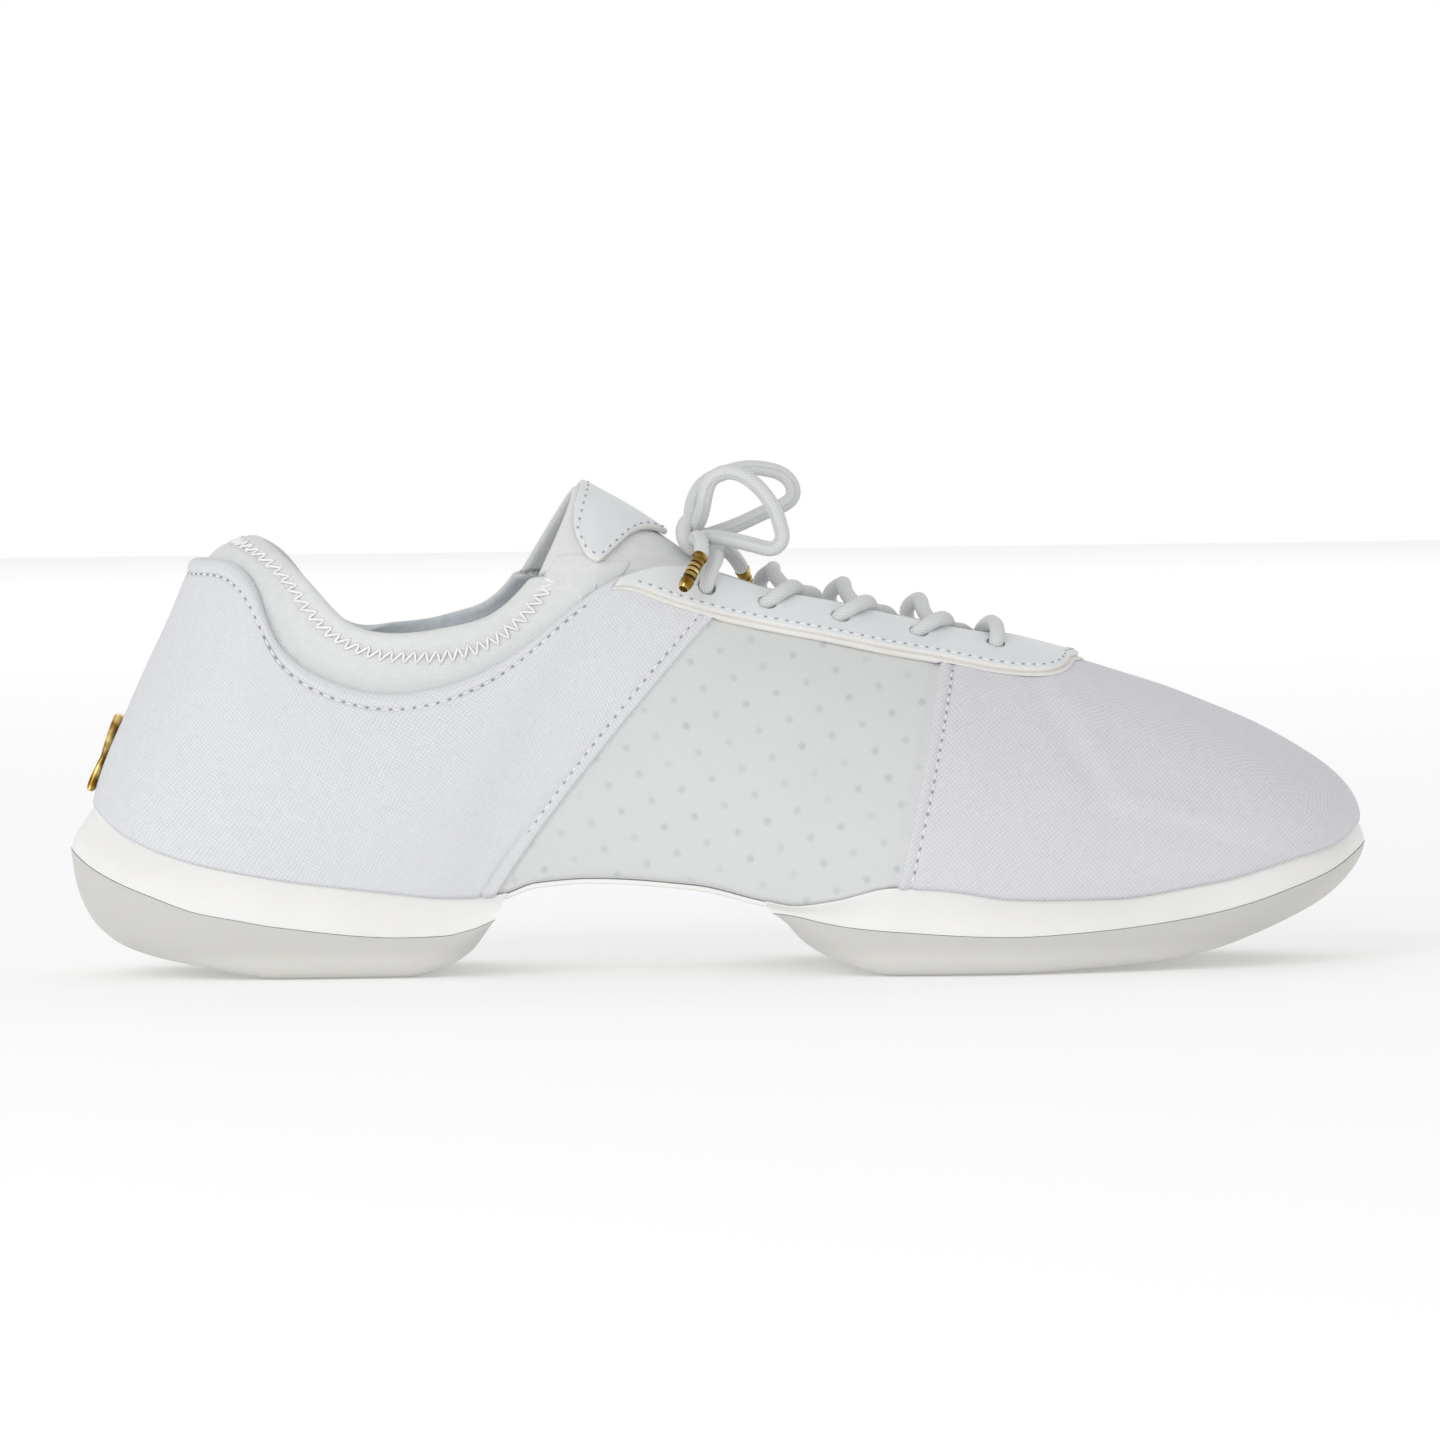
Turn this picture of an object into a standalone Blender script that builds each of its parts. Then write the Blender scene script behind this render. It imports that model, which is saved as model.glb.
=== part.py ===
"""Right dance sneaker with a split sole, standing on the floor.

Lengths in the tables are millimetres: +X to the toe, +Y to the inner (medial) side of the foot, +Z up.
The lateral columns are distances towards -Y and the medial ones towards +Y.
"""

import bmesh
import bpy
import numpy as np
from mathutils import Vector

MM = 0.001  # metres in a millimetre
GAP = 0.3  # clearance between two pieces
FOOT_GAP = 0.5  # the same under the upper's lower edge and on top of the arch plate
WALL = 2.0  # canvas with its lining
STEP = 0.8  # how far the folded canvas panels stand out from the mesh panel
COLLAR_THICK = 3.0
TONGUE_THICK = 3.0
STAY_THICK = 1.3
PATCH_THICK = 1.1
PATCH_LIFT = 0.7
INSOLE_THICK, INSOLE_INSET = 3.0, 6.8
PLATE_THICK, PLATE_DROP = 0.95, 0.1
LACE = 3.2  # diameter of the round lace
AGLET = 2.7
HOLE = 4.0  # diameter of the punched eyelet holes
BADGE_THICK = 1.4

# Side view of the sole: the line where the upper meets it, the bed under the insole, and the level
# inside the heel cup where the foam's core meets the rubber.
SEAT = (
    # x, z
    (-132.0, 36.2), (-125.3, 30.8), (-115.6, 26.4), (-102.5, 23.0), (-87.4, 20.4), (-70.0, 18.3),
    (-56.0, 16.8), (-46.0, 17.3), (-38.0, 19.8), (-27.0, 20.6), (-5.0, 19.1), (9.5, 15.8),
    (16.0, 14.7), (24.0, 15.7), (36.6, 18.4), (46.0, 18.0), (62.0, 15.8), (80.0, 15.6),
    (102.7, 18.4), (120.0, 22.6), (130.0, 25.4), (136.2, 29.6),
)
BED = (
    # x, z
    (-137.0, 16.0), (-60.0, 15.8), (-48.0, 17.2), (-40.0, 24.0), (0.0, 24.0), (10.0, 16.0),
    (24.0, 14.2), (62.0, 13.4), (86.0, 14.2), (104.0, 16.6), (120.0, 20.2), (137.0, 26.5),
)
HEEL_CORE, FORE_CORE = 10.2, 30.0  # only the heel's crease rises above its core
# Side view of each pod: the widest line, where foam meets rubber, and the underside.
HEEL_LINES = (
    # x, crease, under
    (-137.2, 27.0, 10.5), (-132.0, 23.5, 9.0), (-126.0, 20.6, 6.6), (-119.0, 17.9, 4.7),
    (-109.0, 14.4, 2.7), (-100.0, 12.7, 1.0), (-93.0, 11.4, 0.0), (-66.0, 8.8, 0.0),
    (-58.0, 9.0, 1.8), (-52.0, 10.2, 5.2), (-47.0, 12.2, 10.2), (-44.3, 13.6, 13.0),
)
FORE_LINES = (
    # x, crease, under
    (9.5, 13.6, 13.0), (13.5, 13.2, 10.7), (16.4, 12.7, 7.8), (21.0, 11.6, 4.7), (27.0, 10.5, 2.1),
    (36.0, 9.6, 0.0), (62.0, 8.2, 0.0), (77.0, 8.9, 0.7), (90.0, 10.1, 1.6), (103.0, 12.0, 3.8),
    (112.0, 14.1, 6.6), (120.0, 16.6, 9.6), (129.0, 19.8, 13.4), (137.6, 24.8, 18.0),
)
# Levels of a pod, from the seat down: flare is the share of the wall's flare, pull how far the end
# at the arch lies behind the seat's, and drop the share of the way down between two lines.
FOAM_LEVELS = (
    # flare, pull, drop from seat to crease
    (0.0, 0.0, 0.0), (0.42, 0.5, 0.28), (0.8, 1.2, 0.62), (1.0, 2.3, 1.0),
)
RUBBER_LEVELS = (
    # inset, pull, drop from crease to underside
    (0.0, 2.3, 0.0), (0.8, 3.2, 0.38), (2.6, 4.6, 0.70), (5.6, 6.6, 0.92), (9.5, 9.0, 1.0),
)
CUP_LEVELS = (
    # inset, pull, share of the way from the crease to the core
    (3.2, 4.0, 0.0), (12.0, 8.0, 1.0),
)
CUP_CLEAR = 1.0  # the foam core's room inside the rubber cup
HEEL_END, FORE_END = -44.3, 9.8  # where the pods stop at the arch
PULL_REACH = 34.0  # the pull fades out this far from the end

# One row for each section of the upper, from the heel seam round to the toe.
SECTION_COLUMNS = (
    "foot_x", "foot_lat", "foot_med", "flare",
    "low_dx", "low_out", "low_up",
    "top_x", "top_lat", "top_med", "top_z",
    "high_dx", "high_share", "high_out", "high_down", "stay",
)
SECTIONS = (
    (-132.0, 0.0, 0.0, 5.3, 1.4, 0.0, 9.5, -110.4, 0.0, 0.0, 87.3, -4.7, 0.0, 0.0, 13.5, 1.0),
    (-128.9, 13.8, 13.8, 5.2, 1.0, 1.6, 10.0, -107.9, 9.6, 9.6, 87.2, -4.3, 0.0, 1.0, 13.5, 1.0),
    (-120.8, 24.3, 24.1, 4.6, 0.7, 2.8, 11.5, -102.1, 17.6, 17.4, 86.4, -3.5, 0.0, 2.2, 13.5, 1.0),
    (-109.0, 30.0, 29.5, 3.8, 0.3, 3.4, 13.0, -96.8, 24.2, 23.6, 81.0, -2.7, 0.0, 3.6, 13.0, 1.0),
    (-94.0, 32.0, 30.9, 3.2, 0.3, 3.8, 13.5, -91.3, 29.0, 27.8, 69.4, -1.1, 0.0, 3.8, 12.5, 1.0),
    (-78.0, 32.0, 30.2, 3.0, 0.3, 4.2, 13.5, -78.9, 31.4, 29.8, 61.0, -0.3, 0.0, 3.8, 12.0, 1.0),
    (-66.0, 31.4, 28.5, 3.0, 0.9, 4.6, 13.5, -63.7, 31.6, 29.8, 59.1, 0.1, 0.0, 4.2, 12.0, 1.0),
    (-58.5, 31.1, 27.5, 3.0, 4.4, 4.8, 15.0, -41.5, 28.6, 27.0, 67.4, -4.3, 0.0, 5.2, 14.0, 1.0),
    (-53.5, 31.0, 26.8, 3.0, 8.9, 5.0, 18.0, -22.6, 22.6, 21.6, 81.6, -8.3, 0.3, 3.6, 13.0, 0.975),
    (-49.8, 31.0, 26.3, 3.0, 11.0, 5.0, 19.0, -7.5, 15.4, 14.8, 84.2, -8.3, 0.6, 3.6, 10.5, 0.862),
    (-46.5, 31.0, 25.9, 3.0, 12.5, 5.0, 20.0, 5.4, 12.0, 11.6, 80.3, -8.2, 0.8, 1.4, 7.7, 0.839),
    (-18.0, 33.0, 24.8, 3.2, 8.6, 6.0, 26.0, 18.8, 11.6, 11.2, 76.8, -6.2, 0.8, 0.6, 8.8, 0.827),
    (10.0, 39.4, 30.6, 3.4, 6.5, 6.0, 22.0, 33.2, 11.2, 10.8, 73.5, -3.2, 0.68, 0.0, 8.0, 0.827),
    (37.1, 45.6, 40.0, 3.6, 4.4, 5.0, 17.0, 47.7, 10.4, 10.2, 70.1, -0.2, 0.53, 0.0, 6.8, 0.817),
    (64.0, 45.4, 46.0, 3.6, 2.8, 4.8, 15.5, 57.3, 8.4, 8.6, 68.3, 3.8, 0.53, 0.0, 6.3, 0.797),
    (90.0, 38.9, 43.8, 3.0, 3.5, 5.0, 13.5, 61.3, 6.0, 6.2, 67.6, 15.3, 0.5, 0.0, 4.0, 0.786),
    (111.0, 30.8, 37.8, 2.3, 3.3, 4.6, 12.5, 63.0, 3.8, 4.0, 67.3, 25.8, 0.5, 0.0, 5.9, 0.854),
    (125.8, 20.0, 29.4, 1.9, 2.3, 3.6, 12.3, 63.6, 1.9, 2.1, 67.2, 32.7, 0.5, 0.0, 7.8, 0.879),
    (133.4, 7.0, 18.8, 1.7, 1.3, 1.6, 12.3, 63.8, 0.8, 1.0, 67.1, 36.3, 0.5, 0.0, 8.8, 0.886),
    (136.1, -5.8, 5.8, 1.6, 0.7, 0.0, 12.4, 63.8, 0.0, 0.0, 67.1, 37.7, 0.5, 0.0, 9.2, 0.886),
)
CORNER_ROW, REAR_SEAM_ROW, FRONT_SEAM_ROW = 8, 10, 13
SEAM_WIDTH = 0.35  # the run of a panel's step

# The knit collar's rim, one row for each of the first sections.
COLLAR_RIM = (
    # x, lateral, medial, z
    (-97.3, 0.0, 0.0, 92.6), (-95.9, 8.6, 8.4, 92.0), (-91.8, 15.4, 15.0, 89.4), (-85.5, 21.2, 20.6, 83.8),
    (-79.1, 25.4, 24.6, 77.4), (-71.2, 27.8, 26.8, 73.6), (-60.3, 28.0, 27.0, 73.0),
    (-47.1, 25.0, 24.0, 76.8), (-36.9, 19.6, 19.0, 85.2),
)
COLLAR_LOW = 0.80  # the share of the upper's height at which the hidden hem ends
COLLAR_LAST_ROW = 7.88  # the collar stops just behind the throat's corner
TONGUE_BEGINS = 7.95  # and there the tongue's side starts
# The tongue: its side view along the middle, and the free rows behind the throat's corner.
TONGUE_CREST = (
    # x, z
    (-29.5, 103.0), (-18.2, 96.6), (-9.1, 90.4), (-2.5, 85.8), (4.5, 82.3), (13.4, 79.4), (23.3, 76.6),
    (35.3, 73.4), (49.2, 70.0), (63.1, 66.0),
)
TONGUE_REAR = (
    # share of the way from the rim down the collar's front end, crest x
    (0.0, -29.5), (0.35, -26.6), (0.7, -23.6),
)
TONGUE_SIDE = 0.94
TONGUE_FIRST_ROW, TONGUE_LAST_ROW = 8.5, 16.0
TONGUE_CLEAR = 0.5  # extra room under the eyestay
TONGUE_STATIONS = (0, 0.5, 1, 1.5, 2, 2.5, 3, 3.5, 4, 5, 6, 7.5, 9, 11, 13)
PATCH_SPAN, PATCH_WIDTH = (0.25, 3.55), 0.93
PATCH_ROUND = 1.8  # where along its length the patch's front starts to round off

EYELET_X = (-2.4, 10.5, 25.9, 42.3, 58.6)  # from the ankle to the toe
EYELET_HEIGHT = 0.92  # how high on the upper the holes lie
EDGE_AHEAD = 2.6  # a strand passes over the throat's edge this far ahead of its hole
UNDER_BACK = 3.5  # a strand comes up this far behind the next pair of holes

# The bow: points picked for the look of a soft round lace.
KNOT = (-4.6, -3.2, 92.3)
KNOT_SIZE = (7.8, 9.0, 7.2)
LOOP_NEAR = (
    (0.6, -8.4, 91.8), (6.1, -11.0, 90.2), (11.2, -12.4, 88.6), (13.4, -13.0, 89.2), (14.0, -13.0, 91.4),
    (13.3, -13.0, 95.2), (11.3, -12.6, 99.4), (7.6, -12.0, 103.3), (3.3, -11.0, 105.0), (-0.4, -10.0, 103.5),
    (-1.9, -8.9, 99.7), (-2.5, -7.2, 97.2),
)
LOOP_FAR = (
    (1.3, 2.2, 92.4), (6.2, 4.4, 94.2), (11.2, 6.4, 96.4), (14.6, 7.5, 97.7), (16.8, 8.0, 99.7),
    (16.7, 8.0, 101.8), (15.0, 8.0, 104.0), (11.3, 7.5, 105.4), (6.4, 6.5, 105.7), (1.9, 5.0, 104.6),
    (-2.6, 3.0, 102.1), (-4.4, 1.4, 98.9), (-4.9, -0.4, 96.2),
)
END_NEAR = ((-4.3, -8.4, 92.0), (-3.6, -12.6, 92.2), (-3.2, -16.6, 91.6), (-3.0, -19.8, 89.8), (-3.0, -21.8, 87.6))
AGLET_NEAR = ((-3.2, -22.3, 87.0), (-7.3, -28.2, 79.8))
END_FAR = ((-4.6, 2.0, 92.9), (-2.4, 7.4, 94.6), (0.0, 12.2, 94.2), (1.4, 17.0, 92.2), (2.2, 20.6, 89.4))
AGLET_FAR = ((2.4, 21.2, 88.8), (3.4, 27.4, 81.6))

PALETTE = {
    # name: colour, roughness, metallic
    "canvas": ("D9D9DE", 0.85, 0.0),
    "knit": ("E2E4E4", 0.85, 0.0),
    "leather": ("DDE3E6", 0.55, 0.0),
    "foam": ("EEEEEC", 0.6, 0.0),
    "rubber": ("DEDDDA", 0.4, 0.0),
    "lace": ("E8EAEA", 0.8, 0.0),
    "gold": ("B8963E", 0.3, 1.0),
}


def clear_scene():
    for thing in list(bpy.data.objects):
        bpy.data.objects.remove(thing, do_unlink=True)


def collection(name):
    made = bpy.data.collections.new(name)
    bpy.context.scene.collection.children.link(made)
    return made


def linear(pair):
    value = int(pair, 16) / 255.0
    return value / 12.92 if value <= 0.04045 else ((value + 0.055) / 1.055) ** 2.4


def material(name, finish):
    """A Principled material of its own for each object, from the palette."""
    colour, roughness, metallic = PALETTE[finish]
    made = bpy.data.materials.new(name + "_" + finish)
    made.use_nodes = True
    shader = made.node_tree.nodes["Principled BSDF"]
    shader.inputs["Base Color"].default_value = [linear(colour[i : i + 2]) for i in (0, 2, 4)] + [1.0]
    shader.inputs["Roughness"].default_value = roughness
    shader.inputs["Metallic"].default_value = metallic
    return made


def add_object(name, data, finish):
    made = bpy.data.objects.new(name, data)
    SHOE.objects.link(made)
    data.materials.append(material(name, finish))
    return made


def add_mesh(name, points, faces, finish):
    """A mesh object from points in millimetres, its faces turned outwards."""
    mesh = bpy.data.meshes.new(name)
    mesh.from_pydata([tuple(p) for p in np.asarray(points) * MM], [], faces)
    work = bmesh.new()
    work.from_mesh(mesh)
    bmesh.ops.recalc_face_normals(work, faces=work.faces)
    work.to_mesh(mesh)
    work.free()
    mesh.shade_smooth()
    mesh.set_sharp_from_angle(angle=0.7)
    return add_object(name, mesh, finish)


def spline(knots, values, closed=False):
    """Cubic spline through rows of values: natural at its ends, or periodic with the last knot as the first."""
    knots, values = np.asarray(knots, float), np.asarray(values, float)
    step = np.diff(knots)
    slope = np.diff(values, axis=0) / step[:, None]
    count = len(knots)
    system, right = np.zeros((count, count)), np.zeros_like(values)
    for i in range(1, count - 1):
        system[i, i - 1 : i + 2] = step[i], 2 * (step[i - 1] + step[i]), step[i - 1]
        right[i] = 3 * (step[i] * slope[i - 1] + step[i - 1] * slope[i])
    if closed:
        system[0, 0], system[0, 1] = 2 * (step[-1] + step[0]), step[-1]
        system[0, -2] = step[0]
        right[0] = 3 * (step[0] * slope[-1] + step[-1] * slope[0])
        system[-1, 0], system[-1, -1] = 1.0, -1.0
    else:
        system[0, :2], right[0] = (2.0, 1.0), 3 * slope[0]
        system[-1, -2:], right[-1] = (1.0, 2.0), 3 * slope[-1]
    tangent = np.linalg.solve(system, right)

    def at(where):
        where = np.atleast_1d(np.asarray(where, float))
        if closed:
            where = knots[0] + np.mod(where - knots[0], knots[-1] - knots[0])
        i = np.clip(np.searchsorted(knots, where, side="right") - 1, 0, count - 2)
        h = step[i][:, None]
        t = ((where - knots[i]) / step[i])[:, None]
        return (
            values[i] * (2 * t**3 - 3 * t**2 + 1)
            + tangent[i] * h * (t**3 - 2 * t**2 + t)
            + values[i + 1] * (3 * t**2 - 2 * t**3)
            + tangent[i + 1] * h * (t**3 - t**2)
        )

    return at


def curve_of(table, column=1):
    """A monotone curve z(x) through a table, level beyond its ends."""
    x = np.array([row[0] for row in table])
    z = np.array([row[column] for row in table])
    slope = np.diff(z) / np.diff(x)
    same = slope[:-1] * slope[1:] > 0
    inner = np.where(same, 2 * slope[:-1] * slope[1:] / np.where(same, slope[:-1] + slope[1:], 1.0), 0.0)
    tangent = np.concatenate([[slope[0]], inner, [slope[-1]]])

    def at(where):
        where = np.clip(where, x[0], x[-1])
        i = np.clip(np.searchsorted(x, where, side="right") - 1, 0, len(x) - 2)
        h = x[i + 1] - x[i]
        t = (where - x[i]) / h
        return (
            z[i] * (2 * t**3 - 3 * t**2 + 1)
            + tangent[i] * h * (t**3 - 2 * t**2 + t)
            + z[i + 1] * (3 * t**2 - 2 * t**3)
            + tangent[i + 1] * h * (t**3 - t**2)
        )

    return at


seat = curve_of(SEAT)
bed = curve_of(BED)


def floor(x):
    """The level that the insole lies on: the bed inside the pods, and the seat's own level at the arch."""
    return np.minimum(seat(x), bed(x))


def section_controls(row, side):
    """One section on one side: its foot in plan, the low handle from there, the high handle's end and
    the top, then the sole's flare and the eyestay's height."""
    c = dict(zip(SECTION_COLUMNS, row))
    sign, foot_y, top_y = (-1, -c["foot_lat"], -c["top_lat"]) if side == "lateral" else (1, c["foot_med"], c["top_med"])
    foot = (c["foot_x"], foot_y, 0.0)
    low = (c["low_dx"], sign * c["low_out"], c["low_up"])
    top = (c["top_x"], top_y, c["top_z"])
    high_y = top_y + c["high_share"] * (foot_y - top_y) + sign * c["high_out"]
    high = (top[0] + c["high_dx"], high_y, top[2] - c["high_down"])
    return np.array([*foot, *low, *high, *top, c["flare"], c["stay"]])


def make_ring():
    """The sections as one closed ring: lateral from heel to toe, then medial back to the heel."""
    lateral = [section_controls(row, "lateral") for row in SECTIONS]
    medial = [section_controls(row, "medial") for row in SECTIONS[-2:0:-1]]
    rows = np.array(lateral + medial + lateral[:1])
    apart = np.linalg.norm(np.diff(rows[:, :3], axis=0), axis=1) + np.linalg.norm(np.diff(rows[:, 9:12], axis=0), axis=1)
    knots = np.concatenate([[0.0], np.cumsum(apart)])
    return spline(knots, rows, closed=True), knots


RING, KNOTS = make_ring()
TOE = len(SECTIONS) - 1


def around(number, side="lateral"):
    """The ring parameter of a section number, which may lie between two rows."""
    if side == "medial":
        number = 2 * TOE - number
    return np.interp(number, np.arange(len(KNOTS)), KNOTS)


def surface(u, v):
    """The upper's outer face: at ring parameter u, the Bezier from the sole (v 0) to the opening (v 1)."""
    controls = RING(np.ravel(u))[:, :12].reshape(*np.shape(u), 4, 3)
    controls[..., 0, 2] = seat(controls[..., 0, 0]) + FOOT_GAP
    controls[..., 1, :] += controls[..., 0, :]
    v = np.broadcast_to(v, np.shape(u))[..., None]
    return (
        controls[..., 0, :] * (1 - v) ** 3
        + controls[..., 1, :] * 3 * v * (1 - v) ** 2
        + controls[..., 2, :] * 3 * v**2 * (1 - v)
        + controls[..., 3, :] * v**3
    )


def outward(u, v):
    """Unit normals of the upper's face, pointing out of the shoe."""
    du, dv = 0.2, 0.004
    along = surface(u + du, v) - surface(u - du, v)
    up = surface(u, v + dv) - surface(u, v - dv)
    normal = np.cross(along, up)
    return normal / np.linalg.norm(normal, axis=-1, keepdims=True)


def raised(u, v, height):
    return surface(u, v) + outward(u, v) * np.asarray(height)[..., None]


def grid(us, vs):
    return np.meshgrid(us, vs, indexing="ij")


def panel_height(u):
    """The wall's step: the canvas quarter and vamp stand STEP above the mesh panel on both sides."""
    u = np.asarray(u, float)
    height = np.full(u.shape, STEP)
    for side in ("lateral", "medial"):
        ends = sorted((float(around(REAR_SEAM_ROW, side)), float(around(FRONT_SEAM_ROW, side))))
        height = np.where((u > ends[0]) & (u < ends[1]), 0.0, height)
    return height


def shell_faces(rows, columns, closed):
    """Faces of a wall: an outer grid, an inner one and the rims between them."""
    count = rows * columns

    def at(i, j, inner):
        return (i % rows) * columns + j + (count if inner else 0)

    faces = []
    for i in range(rows if closed else rows - 1):
        for j in range(columns - 1):
            quad = [(i, j), (i + 1, j), (i + 1, j + 1), (i, j + 1)]
            faces.append([at(a, b, False) for a, b in quad])
            faces.append([at(a, b, True) for a, b in reversed(quad)])
        for j in (0, columns - 1):
            faces.append([at(i, j, False), at(i, j, True), at(i + 1, j, True), at(i + 1, j, False)])
    if not closed:
        for i in (0, rows - 1):
            for j in range(columns - 1):
                faces.append([at(i, j, False), at(i, j + 1, False), at(i, j + 1, True), at(i, j, True)])
    return faces


def shell(name, outer, inner, finish, closed=False):
    rows, columns = outer.shape[:2]
    points = np.concatenate([outer.reshape(-1, 3), inner.reshape(-1, 3)])
    return add_mesh(name, points, shell_faces(rows, columns, closed), finish)


def feather(u):
    """Feather line: where the outer face of the upper meets the sole, with the flare of the sole there."""
    rows = RING(u)
    along = RING(u + 0.3)[:, :2] - RING(u - 0.3)[:, :2]
    across = np.stack([along[:, 1], -along[:, 0]], axis=1)
    return rows[:, :2], across / np.linalg.norm(across, axis=1, keepdims=True), rows[:, 12]


def ring_at_x(x, side):
    """The ring parameter at which the feather line passes x on one side."""
    run = np.linspace(*sorted((0.0 if side == "lateral" else KNOTS[-1], KNOTS[TOE])), 800)
    line = RING(run)[:, 0]
    order = np.argsort(line)
    return float(np.interp(x, line[order], run[order]))


def run_round(tip, x_end, count):
    """Ring parameters from x_end on the lateral side, round the heel or the toe, to x_end on the medial side."""
    a, b = ring_at_x(x_end, "lateral"), ring_at_x(x_end, "medial")
    if tip == "heel":
        return np.concatenate([np.linspace(a, 0.0, count, endpoint=False), np.linspace(KNOTS[-1], b, count + 1)])
    return np.concatenate([np.linspace(a, KNOTS[TOE], count, endpoint=False), np.linspace(KNOTS[TOE], b, count + 1)])


def pod_level(run, tip, x_end, push, pull):
    """One level of a pod: the feather line pushed out along its normals, its end pulled away from the arch."""
    line, normal, _ = feather(run)
    points = line + normal * np.asarray(push)[:, None]
    sign = 1.0 if tip == "heel" else -1.0
    near_end = np.clip(1 - sign * (x_end - points[:, 0]) / PULL_REACH, 0, 1) ** 2
    points[:, 0] -= sign * pull * near_end
    return points


def stack(name, levels, finish):
    """A solid from rings of equal count, top one first: walls between them, cut along each quad's shorter
    diagonal so that facing walls match, and ruled caps across."""
    count = len(levels[0])
    points = np.concatenate(levels)
    faces = []
    for k in range(len(levels) - 1):
        for i in range(count):
            j = (i + 1) % count
            a, b, c, d = k * count + i, k * count + j, (k + 1) * count + j, (k + 1) * count + i
            if np.linalg.norm(points[a] - points[c]) < np.linalg.norm(points[b] - points[d]):
                faces += [[a, b, c], [a, c, d]]
            else:
                faces += [[a, b, d], [b, c, d]]
    for first in (0, (len(levels) - 1) * count):
        half = count // 2
        for i in range(half):
            a, b, c, d = i, i + 1, count - 2 - i, count - 1 - i
            faces.append([first + n for n in ((a, b, c, d) if b != c else (a, b, d))])
    return add_mesh(name, points, faces, finish)


def with_z(points, z):
    return np.column_stack([points, np.broadcast_to(z, len(points))])


def build_pod(tip, lines, core, x_end, count, outsole, midsole):
    """One pod of the split sole: foam cup above the crease, rubber below it."""
    run = run_round(tip, x_end, count)
    flare = feather(run)[2]
    crease, under = curve_of(lines, 1), curve_of(lines, 2)

    foam = []
    for inset, level in ((6.2, floor), (3.6, seat)):
        plan = pod_level(run, tip, x_end, np.full(len(run), -inset), 0.4)
        foam.append(with_z(plan, level(plan[:, 0])))
    line = feather(run)[0]
    for share, pull, drop in FOAM_LEVELS:
        plan = pod_level(run, tip, x_end, flare * share, pull)
        foam.append(with_z(plan, seat(line[:, 0]) * (1 - drop) + (crease(plan[:, 0]) + GAP) * drop))

    cup_foam, cup_rubber = [], []
    edge = pod_level(run, tip, x_end, flare, RUBBER_LEVELS[0][1])
    for inset, pull, share in CUP_LEVELS:
        for cup, extra, lift in ((cup_foam, CUP_CLEAR, GAP), (cup_rubber, 0.0, 0.0)):
            plan = pod_level(run, tip, x_end, flare - inset - extra, pull + extra)
            level = crease(edge[:, 0]) * (1 - share) + np.minimum(crease(plan[:, 0]), core) * share
            cup.append(with_z(plan, level + lift))
    stack(midsole, foam + cup_foam, "foam")

    rubber = cup_rubber[::-1]
    for inset, pull, drop in RUBBER_LEVELS:
        plan = pod_level(run, tip, x_end, flare - inset, pull)
        rubber.append(with_z(plan, crease(edge[:, 0]) * (1 - drop) + under(plan[:, 0]) * drop))
    stack(outsole, rubber, "rubber")


def slab(name, xs, inset, top, bottom, finish):
    """A plate across the shoe: its rim follows the feather line, and its faces follow two side-view curves."""
    sides = []
    for end in (0.0, KNOTS[-1]):
        line, normal, _ = feather(np.linspace(end, KNOTS[TOE], 300))
        line = line - normal * inset
        order = np.argsort(line[:, 0])
        sides.append(np.column_stack([xs, np.interp(xs, line[order, 0], line[order, 1])]))
    rim = [np.concatenate([with_z(sides[0], z(xs)), with_z(sides[1][::-1], z(xs)[::-1])]) for z in (top, bottom)]
    return stack(name, rim, finish)


def build_arch_plate():
    xs = np.linspace(HEEL_END + GAP, FORE_END - GAP, 17)
    slab("arch_plate", xs, 0.0, lambda x: seat(x) - PLATE_DROP, lambda x: seat(x) - PLATE_THICK, "foam")


def build_insole():
    """The footbed inside the upper, rounded at the heel and the toe."""
    line = feather(np.array([0.0, KNOTS[TOE]]))[0][:, 0]
    turn = np.linspace(0.0, np.pi, 32)[1:-1]
    ends = line + INSOLE_INSET * np.array([1.0, -1.0])
    xs = 0.5 * (ends[0] + ends[1]) - 0.5 * (ends[1] - ends[0]) * np.cos(turn)
    slab(
        "insole", xs, INSOLE_INSET,
        lambda x: floor(x) + 2 * GAP + INSOLE_THICK, lambda x: floor(x) + 2 * GAP, "knit",
    )


def column_run():
    """The upper's columns: evenly between the rows, with a close pair at each seam for the step."""
    parts = {"lateral": [], "medial": []}
    for side in parts:
        bounds = (0, REAR_SEAM_ROW, FRONT_SEAM_ROW, TOE)
        for a, b, share in zip(bounds[:-1], bounds[1:], (2, 4, 2)):
            rows = np.linspace(a, b, (b - a) * share + 1)
            parts[side].append(around(rows, side))
    half = SEAM_WIDTH / 2
    columns = []
    for side in ("lateral", "medial"):
        for k, run in enumerate(parts[side]):
            run = np.sort(run)
            seams = {float(around(n, side)) for n in (REAR_SEAM_ROW, FRONT_SEAM_ROW)}
            low = run[0] + half if run[0] in seams else run[0]
            high = run[-1] - half if run[-1] in seams else run[-1]
            columns.append(np.concatenate([[low], run[1:-1], [high]]))
    run = np.unique(np.round(np.concatenate(columns), 6))
    return run[run < KNOTS[-1] - 1e-3]


def build_upper():
    """The lasted upper: one wall with the opening at the collar and throat, and open underneath."""
    us, vs = grid(column_run(), np.linspace(0.0, 1.0, 10) ** 0.92)
    step = panel_height(us)
    shell("upper", raised(us, vs, step), raised(us, vs, np.full(us.shape, -WALL)), "canvas", closed=True)


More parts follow.
